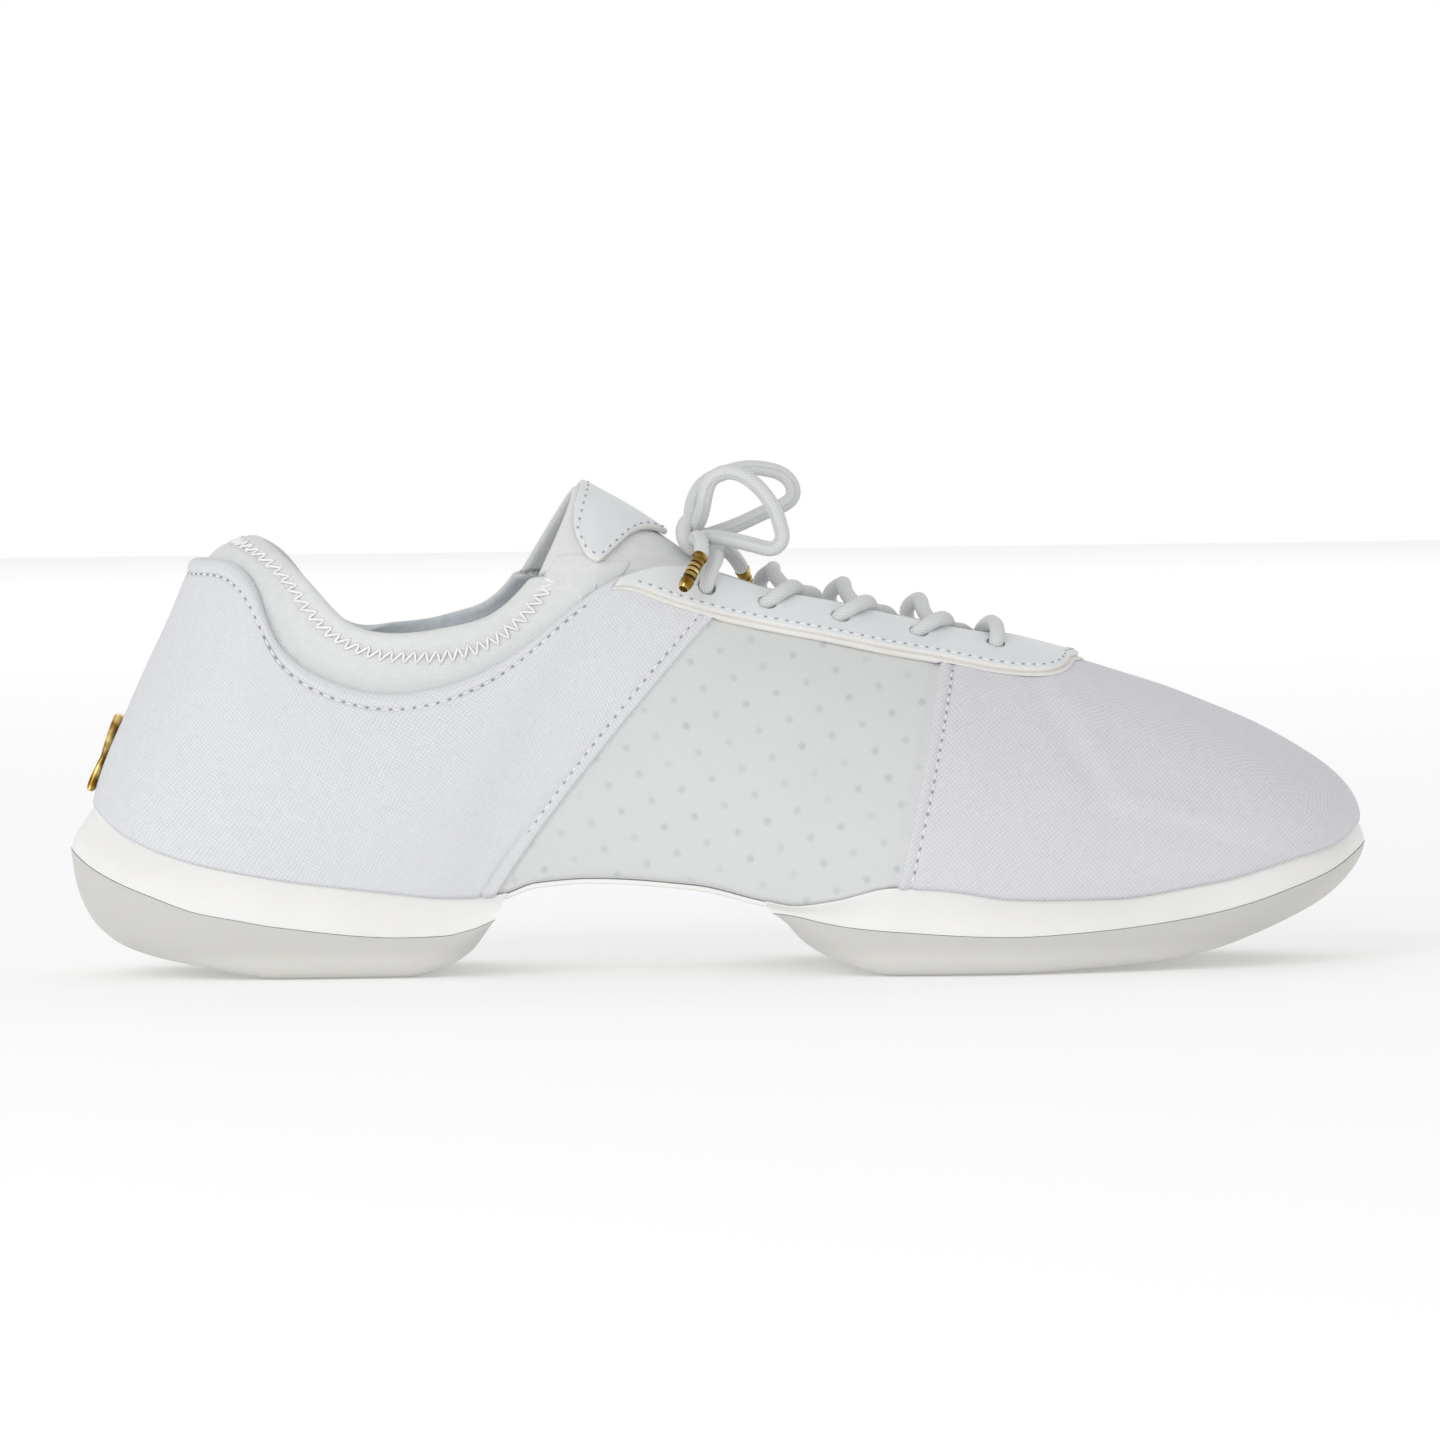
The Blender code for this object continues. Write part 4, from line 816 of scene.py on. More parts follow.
def make_mesh_cloth():
    """Warp-knit spacer mesh: smooth and matt, a fine slanted rib, and soft grey dots where its open cells
    show. The dots lie on a slanted grid: a place's share of each of its two steps, less the nearest dot's,
    gives the way to that dot."""
    made, tree, shader = start_finish("spacer_mesh_polyester", "D8DAD9", 0.8, Sheen_Weight=0.1)
    mm = node(tree, "VectorMath", {0: on_piece(tree), 3: 1 / MM}, operation="SCALE")
    step_a, step_b = np.array((6.3, 2.2)), np.array((2.6, -5.5))
    back = np.linalg.inv(np.stack([step_a, step_b], axis=1))
    inside = []
    for x, z in back:
        cell = node(tree, "VectorMath", {0: mm, 1: (x, 0.0, z)}, out=1, operation="DOT_PRODUCT")
        inside.append(maths(tree, "SUBTRACT", maths(tree, "FRACT", cell), 0.5))
    offset = []
    for a, b in zip(step_a, step_b):
        offset.append(maths(tree, "MULTIPLY_ADD", inside[0], a, maths(tree, "MULTIPLY", inside[1], b)))
    way = node(tree, "CombineXYZ", {0: offset[0], 1: offset[1]})
    away = node(tree, "VectorMath", {0: way}, out=1, operation="LENGTH")
    dot = stretch(tree, away, 0.2, 1.25, 1.0, 0.0, interpolation_type="SMOOTHSTEP")
    cloud = noise(tree, mm, 0.12, 2.0)
    dot = maths(tree, "MULTIPLY", dot, stretch(tree, cloud, 0.35, 0.65, 0.35, 1.0))
    tint(tree, shader, dot, "D5D7D6", "C1C5C6")
    rib_turn, rib_pitch = 0.6, 0.8
    wave = (math.cos(rib_turn) * 2 * np.pi / rib_pitch, 0.0, math.sin(rib_turn) * 2 * np.pi / rib_pitch)
    rib = maths(tree, "SINE", node(tree, "VectorMath", {0: mm, 1: wave}, out=1, operation="DOT_PRODUCT"))
    height = maths(tree, "SUBTRACT", maths(tree, "MULTIPLY_ADD", rib, 0.3, 0.5), dot)
    relief(tree, shader, height, 0.07, 0.6)
    return made


def make_knit(name, low, high):
    """Fine rib-knit jersey, stitches 0.55 mm across: soft and matt, faintly ribbed along its wales."""
    made, tree, shader = start_finish(name, high, 0.9, Sheen_Weight=0.2, Sheen_Roughness=0.5)
    place = on_cloth(tree)
    loops = threads(tree, place, 0.55, (0.0, 0.0, 0.0))
    fuzz = noise(tree, place, 0.5, 4.0)
    tint(tree, shader, stretch(tree, fuzz, 0.3, 0.65), low, high)
    relief(tree, shader, loops, 0.08, 0.5)
    return made


def make_leatherette(name, low, high, roughness):
    """PU-coated leatherette, embossed with a fine pebble of 0.5 mm: cool white with a soft satin gloss."""
    made, tree, shader = start_finish(name, high, roughness, Coat_Weight=0.08, Coat_Roughness=0.4)
    place = on_piece(tree)
    pebble = node(tree, "TexVoronoi", {"Vector": place, "Scale": 1 / (0.5 * MM)}, feature="SMOOTH_F1")
    cloud = noise(tree, place, 1 / (14 * MM), 3.0)
    tint(tree, shader, stretch(tree, cloud, 0.35, 0.65), low, high)
    relief(tree, shader, pebble, 0.03, 0.35)
    return made


def make_lace_cord():
    """Round braided polyester lace: two sets of yarns 0.6 mm apart crossing at a slant, matt with a light
    fuzz."""
    made, tree, shader = start_finish(
        "braided_polyester_lace", "DADBDB", 0.75, Sheen_Weight=0.25, Sheen_Roughness=0.4
    )
    braid = threads(tree, on_cloth(tree), 0.62, (0.0, 0.0, 0.7))
    tint(tree, shader, stretch(tree, braid, 0.0, 0.5), "C9CBCC", "DADBDB")
    relief(tree, shader, braid, 0.09, 0.5)
    return made


def make_foam():
    """Moulded EVA foam: warm white, matt, with the faint pitted skin that the mould leaves."""
    made, tree, shader = start_finish(
        "moulded_eva_foam", "EBEAE7", 0.62, Subsurface_Weight=0.1, Subsurface_Scale=0.002
    )
    place = on_piece(tree)
    cloud = noise(tree, place, 1 / (22 * MM), 2.0)
    tint(tree, shader, stretch(tree, cloud, 0.35, 0.65), "ECEBE8", "F0EFED")
    relief(tree, shader, noise(tree, place, 1 / (0.7 * MM), 4.0), 0.05, 0.3)
    return made


def make_rubber():
    """Moulded off-white crepe rubber, slightly see-through at its edges: greyer than the foam, with a satin
    skin."""
    made, tree, shader = start_finish(
        "moulded_crepe_rubber", "D5D4D0", 0.45, Subsurface_Weight=0.2, Subsurface_Scale=0.003
    )
    place = on_piece(tree)
    height = node(tree, "SeparateXYZ", {0: place}, out=2)
    band = stretch(tree, height, 3 * MM, 7 * MM, interpolation_type="SMOOTHSTEP")
    tint(tree, shader, band, "DAD9D5", "CDCCC8")
    relief(tree, shader, noise(tree, place, 1 / (1.1 * MM), 3.0), 0.04, 0.25)
    return made


def make_gold():
    """Gold-plated zinc, polished: painted reflections as bands of bright gold and dark bronze, and fine
    scratches.
    """
    made, tree, shader = start_finish("gold_plated_zinc", "B8963E", 0.22, Metallic=1.0)
    place = node(tree, "VectorMath", {0: on_piece(tree), 3: 1 / MM}, operation="SCALE")
    # Painted reflection: a bent wave across the piece swings its colour between dark bronze and bright gold.
    run = node(tree, "VectorMath", {0: place, 1: (0.7, 0.4, 0.8)}, out=1, operation="DOT_PRODUCT")
    bent = maths(tree, "MULTIPLY_ADD", noise(tree, place, 0.35, 2.0), 6.0, run)
    band = maths(tree, "MULTIPLY_ADD", maths(tree, "SINE", bent), 0.5, 0.5)
    tint(tree, shader, band, "83621F", "E6CB80")
    scratch = noise(tree, place, 1.1, 5.0)
    tree.links.new(stretch(tree, scratch, 0.3, 0.7, 0.14, 0.3), shader.inputs["Roughness"])
    relief(tree, shader, scratch, 0.02, 0.3)
    return made


def make_thread(name, colour, roughness):
    """Polyester sewing thread, twisted: a little brighter than the cloth. The same finish, dark, also serves
    as painted shade in the needle holes.
    """
    made, tree, shader = start_finish(name, colour, roughness, Sheen_Weight=0.1)
    relief(tree, shader, noise(tree, on_piece(tree), 1 / (0.25 * MM), 2.0), 0.04, 0.5)
    return made


CANVAS_QUARTER = make_canvas("cotton_canvas_quarter", "D0D1D5", "E2E3E6", 0.5)
CANVAS_VAMP = make_canvas("cotton_canvas_vamp", "CDCDD2", "DEDEE2", 0.9)
LINING = make_knit("jersey_lining", "C9D0D4", "D6DCDF")
MESH_CLOTH = make_mesh_cloth()
KNIT = make_knit("rib_knit_jersey", "DDDEDE", "E2E3E3")
LEATHERETTE = make_leatherette("pu_leatherette", "DFE2E4", "E4E7E8", 0.5)
CUT_EDGE = make_leatherette("leatherette_cut_edge", "E3E1DC", "E8E6E1", 0.6)
LACE_CORD = make_lace_cord()
FOAM = make_foam()
RUBBER = make_rubber()
GOLD = make_gold()
# Painted shade: the dark bronze laid in the aglet's grooves.
PAINTED_GROOVE_SHADE = start_finish("painted_groove_shade", "4A3612", 0.4, Metallic=1.0)[0]
THREAD = make_thread("polyester_thread", "EDEDEF", 0.6)
SATIN_THREAD = make_thread("satin_polyester_thread", "F6F6F6", 0.35)
# Painted shade: dark grey beads set between the stitches where the needle holes lie in shade.
PAINTED_HOLE_SHADE = make_thread("needle_hole_shade", "9DA1A7", 0.95)


# The upper


REAR_EDGES = (float(from_heel(around(REAR_SEAM_ROW, "medial"))), float(around(REAR_SEAM_ROW)))
FRONT_EDGES = (float(around(FRONT_SEAM_ROW)), float(around(FRONT_SEAM_ROW, "medial")))


def crease_height(points):
    """Sum of the folds: each a soft ridge or trough across its line, fading out towards the line's ends and
    the middle of the shoe."""
    total = np.zeros(points.shape[:-1])
    for side, x, z, turn, length, width, height in CREASES:
        c, s = math.cos(math.radians(turn)), math.sin(math.radians(turn))
        dx, dz = points[..., 0] - x, points[..., 2] - z
        along, off = dx * c + dz * s, dz * c - dx * s
        here = ease(side * points[..., 1] / CREASE_FADE)
        total += CREASE_DEPTH * here * height * np.exp(-((along / length) ** 2) - (off / width) ** 2)
    return total


def into_canvas(u, v):
    """Millimetres from the nearest folded canvas edge, positive on the canvas and negative on the mesh."""
    signed = from_heel(u)
    rear = np.minimum(REAR_EDGES[1] - signed, signed - REAR_EDGES[0])
    front = np.minimum(u - FRONT_EDGES[0], FRONT_EDGES[1] - u)
    return np.maximum(rear, front) * rate_round(u, v)


def cloth_height(u, v):
    """The outer face's relief: the canvas stands over the mesh with a rolled edge and a stitched groove
    behind it, its top edge is rolled and stitched the same way round the collar, and the folds lie over
    both."""
    inside = into_canvas(u, v)
    base = surface(u, v)
    height = STEP * ease((inside + 0.1) / STEP_RUN) + ridges(inside, EDGE_RELIEF)
    rise = arcs(base, 1)
    collar = ease((float(around(CORNER_ROW)) - np.abs(from_heel(u))) / TOP_FADE)
    height += collar * ridges(rise[:, -1:] - rise, TOP_RELIEF)
    x, z = base[..., 0], base[..., 2]
    wave = np.sin(x * 0.23 + z * 0.11) * np.sin(x * 0.09 - z * 0.17 + 1.3)
    return height + crease_height(base) + SLACK * wave


def upper_columns():
    """Ring parameters about 1.1 mm apart, and close together across the four seams."""
    near = np.array([0.1, 0.25, 0.45, 0.7, 1.0, 1.4, 1.9, 2.5, 3.2, 4.0, 5.0, 6.0, 7.2, 8.6])
    near = np.concatenate([-near[::-1], [0.0], near])
    rows = (REAR_SEAM_ROW, FRONT_SEAM_ROW)
    seams = [float(around(row, side)) for row in rows for side in ("lateral", "medial")]
    even = np.linspace(0, KNOTS[-1], 430, endpoint=False)
    even = even[np.min(np.abs(even[:, None] - np.array(seams)), axis=1) > 9.0]
    return np.sort(np.concatenate([even] + [seam + near for seam in seams]))


def build_upper():
    """The hollow upper as one piece: the outer face with its relief, the rolled top edge and the lining."""
    us = upper_columns()
    rise = np.concatenate([np.linspace(0, 0.9, 44), np.linspace(0.9, 1.0, 22)[1:]])
    u, v = grid(us, rise)
    outer = raised(u, v, cloth_height(u, v))
    inner = raised(*grid(us, np.linspace(1, 0, 16)), -WALL)
    rim = rolled_rim(outer[:, -1], inner[:, 0], unit(outer[:, -1] - outer[:, -4]), 7, 0.8)
    points = np.concatenate([outer, rim, inner], axis=1)
    rows, columns = points.shape[:2]

    length = arcs(outer[:, 30], 0)
    length = np.where(us > KNOTS[-1] / 2, length - length[-1] - 1.0, length)
    cloth = np.stack(np.broadcast_arrays(length[:, None], arcs(points, 1)), axis=-1)
    signed = from_heel(us)
    rear = (signed < REAR_EDGES[1]) & (signed > REAR_EDGES[0])
    front = (us > FRONT_EDGES[0]) & (us < FRONT_EDGES[1])
    quarter, mesh, vamp, lining = range(4)
    zone = np.where(rear, quarter, np.where(front, vamp, mesh))
    marks = np.broadcast_to(zone[:, None], (rows, columns)).copy()
    marks[:, outer.shape[1] + 3 :] = lining
    made = put(
        "upper_canvas_and_mesh", points, grid_faces(rows, columns, True, True),
        [CANVAS_QUARTER, MESH_CLOTH, CANVAS_VAMP, LINING], ["upper"], marks.ravel(), cloth,
    )
    lay_weave_flat(made, marks.ravel() == vamp)


def read_all(things, name, width=1, kind=float):
    """One value or row of values of every vertex, corner or face of a mesh."""
    values = np.empty(width * len(things), dtype=kind)
    things.foreach_get(name, values)
    return values


def lay_weave_flat(piece, chosen):
    """Lays the cloth of the chosen quads from the side, the top or the front, whichever they face most, so
    that the weave keeps its size where the vamp closes over the toe."""
    mesh = piece.data
    corners = read_all(mesh.loops, "vertex_index", kind=np.int32)
    places = read_all(mesh.vertices, "co", 3).reshape(-1, 3)
    normals = read_all(mesh.polygons, "normal", 3).reshape(-1, 3)
    layer = mesh.uv_layers["cloth"].data
    cloth = read_all(layer, "uv", 2).reshape(-1, 4, 2)
    x, y, z = np.moveaxis(places[corners].reshape(-1, 4, 3) / MM, 2, 0)
    facing = np.abs(normals).argmax(axis=1)[:, None]
    across = -np.abs(y)
    flat = np.stack([np.where(facing == 0, across, x), np.where(facing == 2, across, z)], axis=-1)
    cloth[chosen] = flat[chosen]
    layer.foreach_set("uv", cloth.ravel())


def build_seams():
    """The rows of sewing on the canvas: behind the rear panel edge, ahead of the front one, and round the
    collar."""
    rise = np.linspace(0.02, 0.985, 140)
    for side in ("lateral", "medial"):
        for row, way, name in ((REAR_SEAM_ROW, -1, "quarter"), (FRONT_SEAM_ROW, 1, "vamp")):
            way = way if side == "lateral" else -way
            edge = np.full(rise.shape, float(around(row, side)))
            u = edge + way * GROOVE_BACK / rate_round(edge, rise)
            keep = rise < np.interp(u[-1], KNOTS, RING(KNOTS)[:, 13]) - 0.01
            u, v = u[keep], rise[keep]
            sew(f"{name}_seam_{side}", raised(u, v, STEP - 0.30), outward(u, v), SEW_PITCH)
    u = np.linspace(around(CORNER_ROW, "medial") - KNOTS[-1] + 4, around(CORNER_ROW) - 4, 420)
    v = column_at(surface(*grid(u, LEVELS)), GROOVE_BACK) / (len(LEVELS) - 1)
    sew("collar_topline", raised(u, v, STEP - 0.28), outward(u, v), SEW_PITCH)


# The knit collar and the tongue


def build_collar():
    """The knit cuff: hem, free part with its fold under the rim, rolled rim and lining."""
    numbers = np.linspace(-COLLAR_LAST_ROW - 0.02, COLLAR_LAST_ROW + 0.02, 300)
    outer, inner = collar_faces(numbers, COLLAR_HEM_STEPS, COLLAR_FREE_STEPS)
    rim = rolled_rim(outer[:, -1], inner[:, -1], unit(outer[:, -1] - outer[:, -3]), 10)
    along, up = arcs(outer, 0), arcs(outer, 1)
    ruck = 0.12 * np.sin(along * 1.7 + 0.5 * np.sin(along * 0.31))
    below = up[:, -1:] - up
    puff = ridges(below, FOLD_RELIEF) + ruck * bump(below, 4.7, 2.2)
    outer = outer + face_normals(outer) * puff[..., None]
    points = np.concatenate([outer, rim, inner[:, ::-1]], axis=1)
    rows, columns = points.shape[:2]
    cloth = np.stack([np.broadcast_to(arcs(outer, 0)[:, -1:], (rows, columns)), arcs(points, 1)], axis=-1)
    faces = [grid_faces(rows, columns, close_columns=True), end_caps(rows, columns)[:, ::-1]]
    lining = np.zeros((rows - 1, columns), int)
    lining[:, outer.shape[1] + 5 :] = 1
    marks = np.concatenate([lining.ravel(), [0, 0]])
    put("collar_knit", points, faces, [KNIT, LINING], ["collar"], marks, cloth)
    zigzag(outer)


def zigzag(face):
    """The zigzag that holds the collar's fold: a thread going up and down between two lines under the rim."""
    rows = np.arange(face.shape[0])
    high, low = (on_grid(face, rows, column_at(face, away)) for away in (3.0, 6.0))
    normal = on_grid(face_normals(face), rows, column_at(face, 4.5))
    run = arcs(low, 0)
    turns = int((run[-1] - 2.0) / ZIGZAG_PITCH)
    index = np.interp(np.linspace(1.0, run[-1] - 1.0, turns), run, rows)
    high, low, normal = (read_off(index, rows, line) for line in (high, low, normal))
    pick = (np.arange(turns) % 2)[:, None]
    corners = high * pick + low * (1 - pick) + normal * 0.15
    path = read_off(np.linspace(0, turns - 1, turns * 4 - 3), np.arange(turns), corners)
    put_cord("collar_zigzag_thread", path, 0.55, SATIN_THREAD, sides=6)


def build_gussets():
    """The knit that joins the collar's front ends to the tongue: a curve from one surface to the other,
    leaving each along its own slope, swept down the joint."""
    ends = np.array([-COLLAR_LAST_ROW, -COLLAR_LAST_ROW + 0.12, COLLAR_LAST_ROW - 0.12, COLLAR_LAST_ROW])
    free, _ = collar_faces(ends, COLLAR_HEM_STEPS, COLLAR_FREE_STEPS)
    columns = np.arange(free.shape[1])
    down = np.linspace(0.07, 0.98, 40)
    face = tongue_face(np.interp(down, (0.0, 0.35, 0.7, 1.0), (0.0, 1.0, 2.0, 3.0)), 61)
    at = (1 - down) * (COLLAR_FREE_STEPS - 1) + COLLAR_HEM_STEPS
    lap = 5.0
    t = np.linspace(0, 1, 24)[None, :, None]
    for name, last, before, edge, ahead in (("lateral", -1, -2, 0, 4), ("medial", 0, 1, 60, 56)):
        start, back = (read_off(at, columns, free[row]) for row in (last, before))
        leave, arrive = unit(start - back), unit(face[:, ahead] - face[:, edge])
        start = start - leave * lap
        finish = face[:, edge] + arrive * lap
        size = np.linalg.norm(finish - start, axis=1, keepdims=True)
        place = hermite(t, start[:, None], (leave * size)[:, None], finish[:, None], (arrive * size)[:, None])
        normal = face_normals(place)
        normal = normal * np.sign((normal * (place - SHOE_MIDDLE)).sum(axis=-1, keepdims=True))
        points, faces, _ = pillow(place, normal, -1.8, 0.3, 1.2)
        put(f"collar_gusset_{name}", points, faces, [KNIT], cloth=points[:, [0, 2]])


def build_tongue():
    """The knit tongue, from its top edge behind the knot down to the toe's end of the throat."""
    stations = np.concatenate([np.linspace(0, 0.1, 5), np.linspace(0.1, TONGUE_LAST, 150)[1:]])
    face = tongue_face(stations, 90)
    points, faces, _ = pillow(face, upward_normals(face), -TONGUE_THICK, 0.0, 1.6)
    cloth = np.stack([arcs(face, 0), arcs(face, 1)], axis=-1)
    cloth = np.concatenate([cloth.reshape(-1, 2), cloth[1:-1, 1:-1].reshape(-1, 2)])
    put("tongue_knit", points, faces, [KNIT], ["tongue"], cloth=cloth)


def patch_grid(count, across):
    """Places and normals over the tongue inside the patch's outline, which PATCH_REACH gives."""
    fine = 161
    stations = PATCH_SPAN[0] + (PATCH_SPAN[1] - PATCH_SPAN[0]) * crowded(count)
    face = tongue_face(stations, fine)
    reach = curve_of(PATCH_REACH)(stations)
    column = ((2 * crowded(across) - 1)[None] * reach[:, None] + 1) / 2 * (fine - 1)
    row = np.broadcast_to(np.arange(len(stations))[:, None], column.shape).astype(float)
    return on_grid(face, row, column), unit(on_grid(upward_normals(face), row, column))


def raw_edge(edge, faces, width):
    """Marks the faces that lie nearer than that to the border of a pillow."""
    return (edge[faces].mean(axis=1) < width).astype(int)


def build_patch():
    """The leatherette patch on the tongue, with one row of sewing round it."""
    place, normal = patch_grid(60, 60)
    points, faces, edge = pillow(place, normal, PATCH_LIFT, PATCH_LIFT + PATCH_THICK, 0.7)
    marks = raw_edge(edge, faces, 0.55)
    put("patch_leatherette", points, faces, [LEATHERETTE, CUT_EDGE], ["tongue_patch"], marks)
    rows, columns = place.shape[:2]
    inset = 1.5
    middle = arcs(place, 0)[:, columns // 2]
    across = arcs(place, 1)
    rear, front = np.interp((inset, middle[-1] - inset), middle, np.arange(rows))
    line = np.linspace(rear, front, 60)
    near = np.array([np.interp(inset, across[int(i)], np.arange(columns)) for i in line])
    far = columns - 1 - near
    at_row = np.concatenate([line, np.full(20, front), line[::-1], np.full(60, rear)])
    at_column = np.concatenate([
        near, np.linspace(near[-1], far[-1], 20), far[::-1], np.linspace(far[0], near[0], 60),
    ])
    up = unit(on_grid(normal, at_row, at_column))
    path = on_grid(place, at_row, at_column) + up * (PATCH_LIFT + PATCH_THICK - 0.05)
    sew("patch_edge", path, up, FINE_PITCH, FINE_WIDTH)


# The eyestay


def stay_grid(low_shift, across):
    """The upper's parameters under the eyestay, from its lower edge to the throat's edge."""
    u = round_throat(CORNER_ROW + 0.12, 170)
    low = (RING(u)[:, 13] - low_shift)[:, None]
    return np.repeat(u[:, None], len(across), axis=1), low + (1 - low) * across


def punch_tool(x, side):
    """A round punch through the leatherette at one eyelet, as a closed cylinder."""
    place, normal = throat_place(x, side, EYELET_HEIGHT, STEP + GAP + STAY_THICK)
    count = 28
    turn = np.linspace(0, 2 * np.pi, count, endpoint=False)[:, None]
    across = unit(np.cross(normal, (0.0, 1.0, 0.2)))
    ring = (across * np.cos(turn) + np.cross(normal, across) * np.sin(turn)) * HOLE / 2
    points = np.concatenate([place + ring - normal * 5, place + ring + normal * 4])
    mesh = bpy.data.meshes.new("punch")
    walls = [[k, (k + 1) % count, count + (k + 1) % count, count + k] for k in range(count)]
    mesh.from_pydata(points * MM, [], walls + end_caps(2, count).tolist())
    return link("punch", mesh)


def punch_holes(piece):
    """Cuts the eyelets through a piece and removes the tools."""
    for side in ("lateral", "medial"):
        for x in EYELET_X:
            tool = punch_tool(x, side)
            cut = piece.modifiers.new("eyelet", "BOOLEAN")
            cut.operation, cut.solver, cut.object = "DIFFERENCE", "EXACT", tool
            bpy.context.view_layer.update()
            seen = piece.evaluated_get(bpy.context.evaluated_depsgraph_get())
            mesh = bpy.data.meshes.new_from_object(seen)
            piece.modifiers.clear()
            piece.data = mesh
            bpy.data.objects.remove(tool, do_unlink=True)


def build_eyestay():
    """The U of leatherette with its holes, the backing that fills the step under it, and its sewing."""
    base = STEP + GAP
    us, vs = stay_grid(0.0, crowded(26, 0.03))
    points, faces, edge = pillow(raised(us, vs, base), outward(us, vs), 0.0, STAY_THICK, 0.5)
    marks = raw_edge(edge, faces, 0.42)
    stay = put("eyestay_leatherette", points, faces, [LEATHERETTE, CUT_EDGE], ["eyestay"], marks)
    punch_holes(stay)

    us, vs = stay_grid(0.012, crowded(8, 0.06))
    cloth = np.where(into_canvas(us, vs) > 0, STEP, 0.0)
    points, faces, _ = pillow(surface(us, vs), outward(us, vs), cloth + 0.03, base + 0.15, 0.45)
    backing = put("eyestay_backing", points, faces, [CUT_EDGE])
    punch_holes(backing)

    u = round_throat(CORNER_ROW + 0.35, 160)
    run = arcs(surface(*grid(u, LEVELS)), 1)
    v = []
    for low, line in zip(RING(u)[:, 13], run):
        v.append(np.interp(np.interp(low, LEVELS, line) + STAY_SEWN_IN, line, LEVELS))
    v = np.minimum(v, 0.985)
    sew("eyestay_edge", raised(u, v, base + STAY_THICK - 0.05), outward(u, v), STAY_PITCH, FINE_WIDTH)


# The lace


def over_leather(x, side, height, lift):
    """A place over the eyestay's face."""
    return throat_place(x, side, height, STEP + GAP + STAY_THICK + lift)[0]


def on_tongue(x, y, lift):
    """A place over the tongue: the crest's height there, less the tongue's fall towards its edges."""
    return (x, y, float(low_crest(x)) - 0.035 * y * y + LACE / 2 + lift)


def near_strand(rear, ahead):
    """From its hole obliquely forward over the leather and the tongue, and in under the far edge."""
    tuck = throat_place(ahead, "medial", 1.0, 0.0)[0]
    return np.array([
        over_leather(rear - 1.2, "lateral", EYELET_HEIGHT, -2.8),
        over_leather(rear - 0.4, "lateral", EYELET_HEIGHT, -0.8),
        over_leather(rear + 1.6, "lateral", EYELET_HEIGHT + 0.02, LACE / 2 - 0.5),
        over_leather(rear + 4.8, "lateral", 0.995, LACE / 2 - 0.2),
        on_tongue(rear + 7.8, -4.0, 2.6),
        on_tongue(rear + 10.2, -0.2, 2.1),
        on_tongue(ahead - 0.2, tuck[1] * 0.6, 0.6),
        (ahead + 1.0, tuck[1] * 0.95, tuck[2] - 2.6),
    ])


def far_strand(rear, ahead):
    """From its hole in a hump over the far edge, down across the tongue under the near strand and the near
    edge."""
    tuck = throat_place(ahead, "lateral", 1.0, 0.0)[0]
    top = over_leather(rear - 0.8, "medial", 1.0, LACE / 2 + 2.4)
    return np.array([
        over_leather(rear - 0.8, "medial", EYELET_HEIGHT, -2.8),
        over_leather(rear - 1.0, "medial", EYELET_HEIGHT, -0.6),
        over_leather(rear - 2.2, "medial", EYELET_HEIGHT + 0.05, LACE / 2 + 0.6),
        (top[0], top[1] * 0.86, top[2]),
        on_tongue(rear + 2.2, 3.0, 4.2),
        on_tongue(rear + 5.4, 0.0, 1.2),
        on_tongue(ahead - 1.4, tuck[1] * 0.6, -0.8),
        (ahead + 0.2, tuck[1] * 0.92, tuck[2] - 3.4),
    ])


def half_bar(side):
    """The front bar from its hole on one side to the throat's edge."""
    front = EYELET_X[-1]
    return np.array([
        over_leather(front - 0.3, side, EYELET_HEIGHT, -2.6),
        over_leather(front, side, EYELET_HEIGHT, -0.4),
        over_leather(front, side, EYELET_HEIGHT + 0.04, LACE / 2 - 0.1),
        over_leather(front - 0.6, side, 1.0, LACE / 2 + 0.2),
    ])


def riser(side, way):
    """The lace from a top hole up to the knot."""
    top = EYELET_X[0]
    return np.array([
        over_leather(top - 0.4, side, EYELET_HEIGHT, -2.8),
        over_leather(top - 0.2, side, EYELET_HEIGHT, -0.6),
        over_leather(top, side, EYELET_HEIGHT + 0.04, LACE / 2),
        over_leather(top + 0.6, side, 1.0, LACE / 2 + 0.8),
        (-2.4, way * 3.4 - 2.0, 88.2),
        (-3.6, way * 0.6 - 2.0, 90.4),
    ])


def lay_lace(name, route, nodes=()):
    return put_cord(name, smooth_path(route), LACE, LACE_CORD, nodes)


def build_lace():
    """The bar, the crossing strands and the two risers."""
    crest = on_tongue(EYELET_X[-1] - 2.0, 0.0, 3.6)
    lay_lace("bar_strand", [*half_bar("lateral"), crest, *half_bar("medial")[::-1]], ["lace_bar"])
    for i in range(1, len(EYELET_X) - 1):
        rear, ahead = EYELET_X[i], EYELET_X[i + 1] - UNDER_BACK
        lay_lace(f"near_strand_{i + 1}", near_strand(rear, ahead), [f"lace_crossing_{i + 1}"])
        lay_lace(f"far_strand_{i + 1}", far_strand(rear, ahead))
    for side, way in (("lateral", -1), ("medial", 1)):
        lay_lace(f"riser_{side}", riser(side, way), ["lace_crossing_1"])


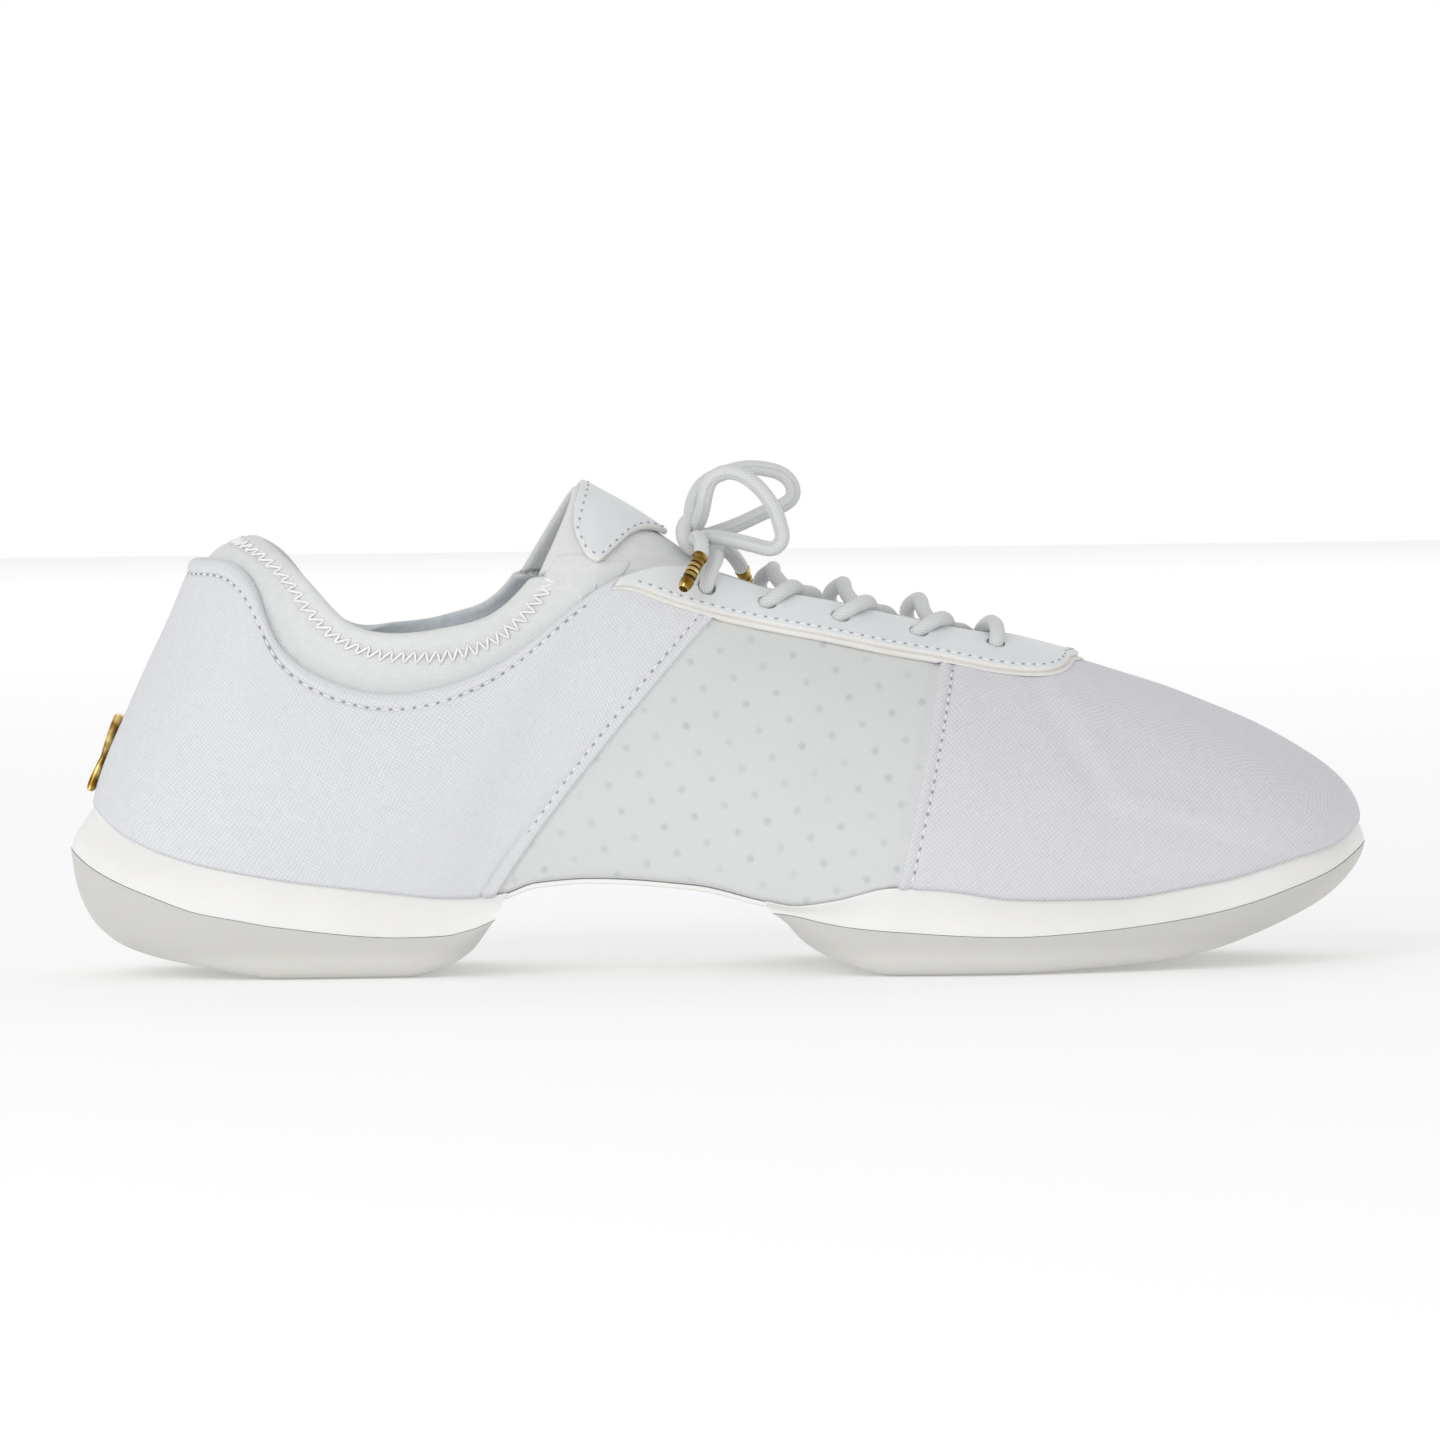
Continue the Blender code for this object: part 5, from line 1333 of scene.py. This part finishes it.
def turned(name, ends, profile, finishes, nodes, sides):
    """A turned piece: a profile of distance and radius carried round the line between two ends."""
    start, end = np.array(ends[0]), np.array(ends[1])
    axis = unit(end - start)
    across = unit(np.cross(axis, (0.0, 0.0, 1.0)))
    turn = np.linspace(0, 2 * np.pi, sides, endpoint=False)[:, None]
    ring = across * np.cos(turn) + np.cross(axis, across) * np.sin(turn)
    profile = np.array(profile)
    away, radius = profile[:, 0], profile[:, 1]
    points = start + axis * away[:, None, None] + ring[None] * radius[:, None, None]
    # The grooves, where the profile is slimmer, take the dark finish of painted shade.
    slim = radius < GROOVE_RADIUS
    grooved = slim[:-1] & slim[1:] & (away[:-1] > 0.5)
    marks = np.concatenate([np.repeat(grooved, sides), [0, 0]])
    faces = [grid_faces(len(profile), sides, close_columns=True), end_caps(len(profile), sides)]
    made = put(name, points, faces, finishes, nodes, marks)
    made.data.set_sharp_from_angle(angle=0.6)
    return made


def build_bow():
    """The knot's wrap, two loops, two ends and their gold tips; each free length is made as a cord."""
    wrap = put_cord("knot_wrap", smooth_path(KNOT_WRAP), LACE * 1.04, LACE_CORD, ["lace_knot"])
    metal = [GOLD, PAINTED_GROOVE_SHADE]
    tips = [
        turned(f"aglet_{which}_tip", ends, AGLET_PROFILE, metal, [f"aglet_{which}"], 12)
        for which, ends in (("near", AGLET_NEAR), ("far", AGLET_FAR))
    ]
    for which, route, extra in (
        ("loop_near", LOOP_NEAR, [wrap]), ("loop_far", LOOP_FAR, []),
        ("end_near", END_NEAR, [tips[0]]), ("end_far", END_FAR, [tips[1]]),
    ):
        path = smooth_path(route)
        made = put_cord("bow_" + which, path, LACE, LACE_CORD, ["lace_" + which])


# The sole


def between(table, count):
    """A table's rows and the smooth curve between them, as that many rows."""
    return spline(np.arange(len(table)), table)(np.linspace(0, len(table) - 1, count))


def close_stack(name, rings, finish, nodes):
    """A solid from rings of equal count: walls between them, and strips across the first and last."""
    count = len(rings[0])
    walls = grid_faces(len(rings), count, close_columns=True)
    half = np.arange(count // 2 - 1)
    strips = np.stack([half, half + 1, count - 2 - half, count - 1 - half], axis=1)
    last = (strips + (len(rings) - 1) * count)[:, ::-1]
    made = put(name, np.concatenate(rings), [walls, strips, last], [finish], nodes)
    made.data.set_sharp_from_angle(angle=0.75)
    return made


def build_pod(tip, lines, x_end, count):
    """One pod of the split sole: the foam's flared wall above the crease, the rubber's tucked wall below
    it."""
    which = "heel" if tip == "heel" else "forefoot"
    run = run_round(tip, x_end, count)[:-1]
    line, _, flare = feather(run)
    top = seat(line[:, 0])
    crease, under = curve_of(lines, 1), curve_of(lines, 2)
    edge = crease(pod_level(run, tip, x_end, flare, RUBBER_LEVELS[0][1])[:, 0])

    def joint(inset):
        """A ring of the joint between foam and rubber, set in from the crease."""
        plan = pod_level(run, tip, x_end, flare - inset, 3.0)
        return with_z(plan, np.minimum(edge, crease(plan[:, 0])))

    foam = []
    for inset, level, drop in ((6.2, floor, 0.0), (3.6, seat, 0.0), (1.2, seat, 0.1)):
        plan = pod_level(run, tip, x_end, -inset, 0.4)
        foam.append(with_z(plan, level(plan[:, 0]) - drop))
    foam.append(with_z(pod_level(run, tip, x_end, 0.25, 0.0), top + 0.15))
    for share, pull, drop in between(FOAM_LEVELS, 18)[1:]:
        plan = pod_level(run, tip, x_end, flare * share, pull)
        foam.append(with_z(plan, top * (1 - drop) + (crease(plan[:, 0]) + 0.1) * drop))
    foam += [joint(inset) + (0.0, 0.0, 0.1) for inset in (1.0, 9.0)]
    close_stack(f"midsole_{which}_foam", foam, FOAM, [f"midsole_{which}"])

    rubber = [joint(9.0), joint(1.2)]
    for inset, pull, drop in between(RUBBER_LEVELS, 26):
        plan = pod_level(run, tip, x_end, flare - inset + 0.15, pull)
        rubber.append(with_z(plan, edge * (1 - drop) + np.maximum(under(plan[:, 0]), 0.0) * drop))
    close_stack(f"outsole_{which}_rubber", rubber, RUBBER, [f"outsole_{which}"])


def slab_rings(xs, base, levels):
    """Rings of a plate across the shoe: at each level the feather line set in, and base lifted."""
    rings = []
    for inset, lift in levels:
        sides = []
        for end in (0.0, KNOTS[-1]):
            line, normal, _ = feather(np.linspace(end, KNOTS[TOE], 600))
            line = line - normal * inset
            order = np.argsort(line[:, 0])
            sides.append(np.column_stack([xs, np.interp(xs, line[order, 0], line[order, 1]), base + lift]))
        rings.append(np.concatenate([sides[0], sides[1][::-1]]))
    return rings


def build_inside():
    """The arch plate whose rim shows between the pods, and the footbed."""
    xs = np.linspace(HEEL_END - PLATE_LAP, FORE_END + PLATE_LAP, 120)
    plate = slab_rings(xs, seat(xs), ((0.5, 0.02), (0.0, -0.1), (-0.15, -0.5), (0.0, -0.9), (0.6, -1.1)))
    close_stack("arch_plate_rim", plate, FOAM, ["arch_plate"])
    turn = np.linspace(0.0, np.pi, 122)[1:-1]
    rear, front = feather(np.array([0.0, KNOTS[TOE]]))[0][:, 0] + INSOLE_SHORT * np.array([1.0, -1.0])
    xs = 0.5 * (rear + front) - 0.5 * (front - rear) * np.cos(turn)
    top = floor(xs) + 2 * GAP + INSOLE_THICK
    bedding = slab_rings(xs, top, ((9.0, 0.2), (7.2, 0.1), (6.5, -0.5), (INSOLE_INSET, -INSOLE_THICK)))
    close_stack("insole_cloth", bedding, LINING, ["insole"])


def build_badge():
    """A plain waisted plate, domed and bevelled, bent to the back of the quarter."""
    rise = BADGE_LOW + BADGE_TALL * crowded(30, 0.05)
    across = 2 * crowded(20, 0.06) - 1
    waist = BADGE_HALF - BADGE_WAIST * np.sin(np.linspace(0, np.pi, len(rise)))
    u = across[:, None] * waist[None, :]
    v = np.broadcast_to(rise, u.shape)
    swell = 0.55 + 0.45 * np.abs(np.cos(np.pi * (rise - BADGE_LOW) / BADGE_TALL)) ** 0.8
    points, faces, _ = pillow(raised(u, v, STEP), outward(u, v), 0.05, GAP + BADGE_THICK * swell, 0.8)
    put("heel_plate", points, faces, [GOLD], ["heel_badge"])


build_bow()
build_lace()
build_pod("heel", HEEL_LINES, HEEL_END, 130)
build_pod("toe", FORE_LINES, FORE_END, 150)
build_inside()
build_upper()
build_seams()
build_collar()
build_tongue()
build_gussets()
build_patch()
build_eyestay()
build_badge()


# Floor, light and camera


def build_floor():
    """A light table: a plain white acrylic top, softly lit from below, wide enough to fill every view."""
    mesh = bpy.data.meshes.new("floor")
    far = 6.0
    mesh.from_pydata([(-far, -far, 0), (far, -far, 0), (far, far, 0), (-far, far, 0)], [], [(0, 1, 2, 3)])
    made = link("floor", mesh)
    finish, _, _ = start_finish(
        "backlit_white_acrylic", "F4F4F4", 0.9, Emission_Color=(1.0, 1.0, 1.0, 1.0), Emission_Strength=0.2
    )
    mesh.materials.append(finish)


def add_light(name, place, aim, size, power):
    """A round soft light of that size in metres and power in watts, aimed at a point."""
    data = bpy.data.lights.new(name, "AREA")
    data.shape, data.size, data.energy = "DISK", size, power
    made = link(name, data)
    made.location = place
    made.rotation_euler = (Vector(place) - Vector(aim)).to_track_quat("Z", "Y").to_euler()


def build_studio():
    """White surroundings, brightest at the horizon and dimmer overhead, and two broad soft lights."""
    world = bpy.data.worlds.new("white_room")
    bpy.context.scene.world = world
    world.use_nodes = True
    tree = world.node_tree
    rise = node(tree, "SeparateXYZ", {0: node(tree, "TexCoord", {})}, out=2)
    level = stretch(tree, rise, 0.12, 0.7, 1.0, 0.58, interpolation_type="SMOOTHSTEP")
    tree.nodes["Background"].inputs[0].default_value = (1.0, 1.0, 1.0, 1.0)
    tree.links.new(level, tree.nodes["Background"].inputs[1])
    add_light("softbox_front", (-0.9, -1.6, 0.8), (0, 0, 0.05), 1.2, 10.0)
    add_light("softbox_back", (0.9, 1.3, 1.2), (0, 0, 0.05), 1.2, 0.8)
    add_light("light_on_the_floor_behind", (0.0, 3.6, 2.4), (0, 3.6, 0.0), 4.0, 24.0)


CAMERA_AIM = (0.7, 0.0, 52.3)
CAMERA_DISTANCE, CAMERA_HEIGHT, CAMERA_ROLL = 1800.0, 2.0, -0.71
CAMERA_LENS, SENSOR = 211.8, 36.0


def build_camera():
    """A long lens from the outer side of the shoe, as high and as turned as the photograph's."""
    data = bpy.data.cameras.new("camera")
    data.lens, data.sensor_width = CAMERA_LENS, SENSOR
    data.clip_start, data.clip_end = 0.05, 30.0
    made = link("camera", data)
    rise = math.radians(CAMERA_HEIGHT)
    away = Vector((0.0, -math.cos(rise), math.sin(rise)))
    place = Vector(CAMERA_AIM) * MM + away * CAMERA_DISTANCE * MM
    roll = Matrix.Rotation(math.radians(CAMERA_ROLL), 4, "Z")
    made.matrix_world = Matrix.Translation(place) @ away.to_track_quat("Z", "Y").to_matrix().to_4x4() @ roll
    bpy.context.scene.camera = made


build_floor()
build_studio()
build_camera()
bpy.context.scene.view_settings.view_transform = "Standard"
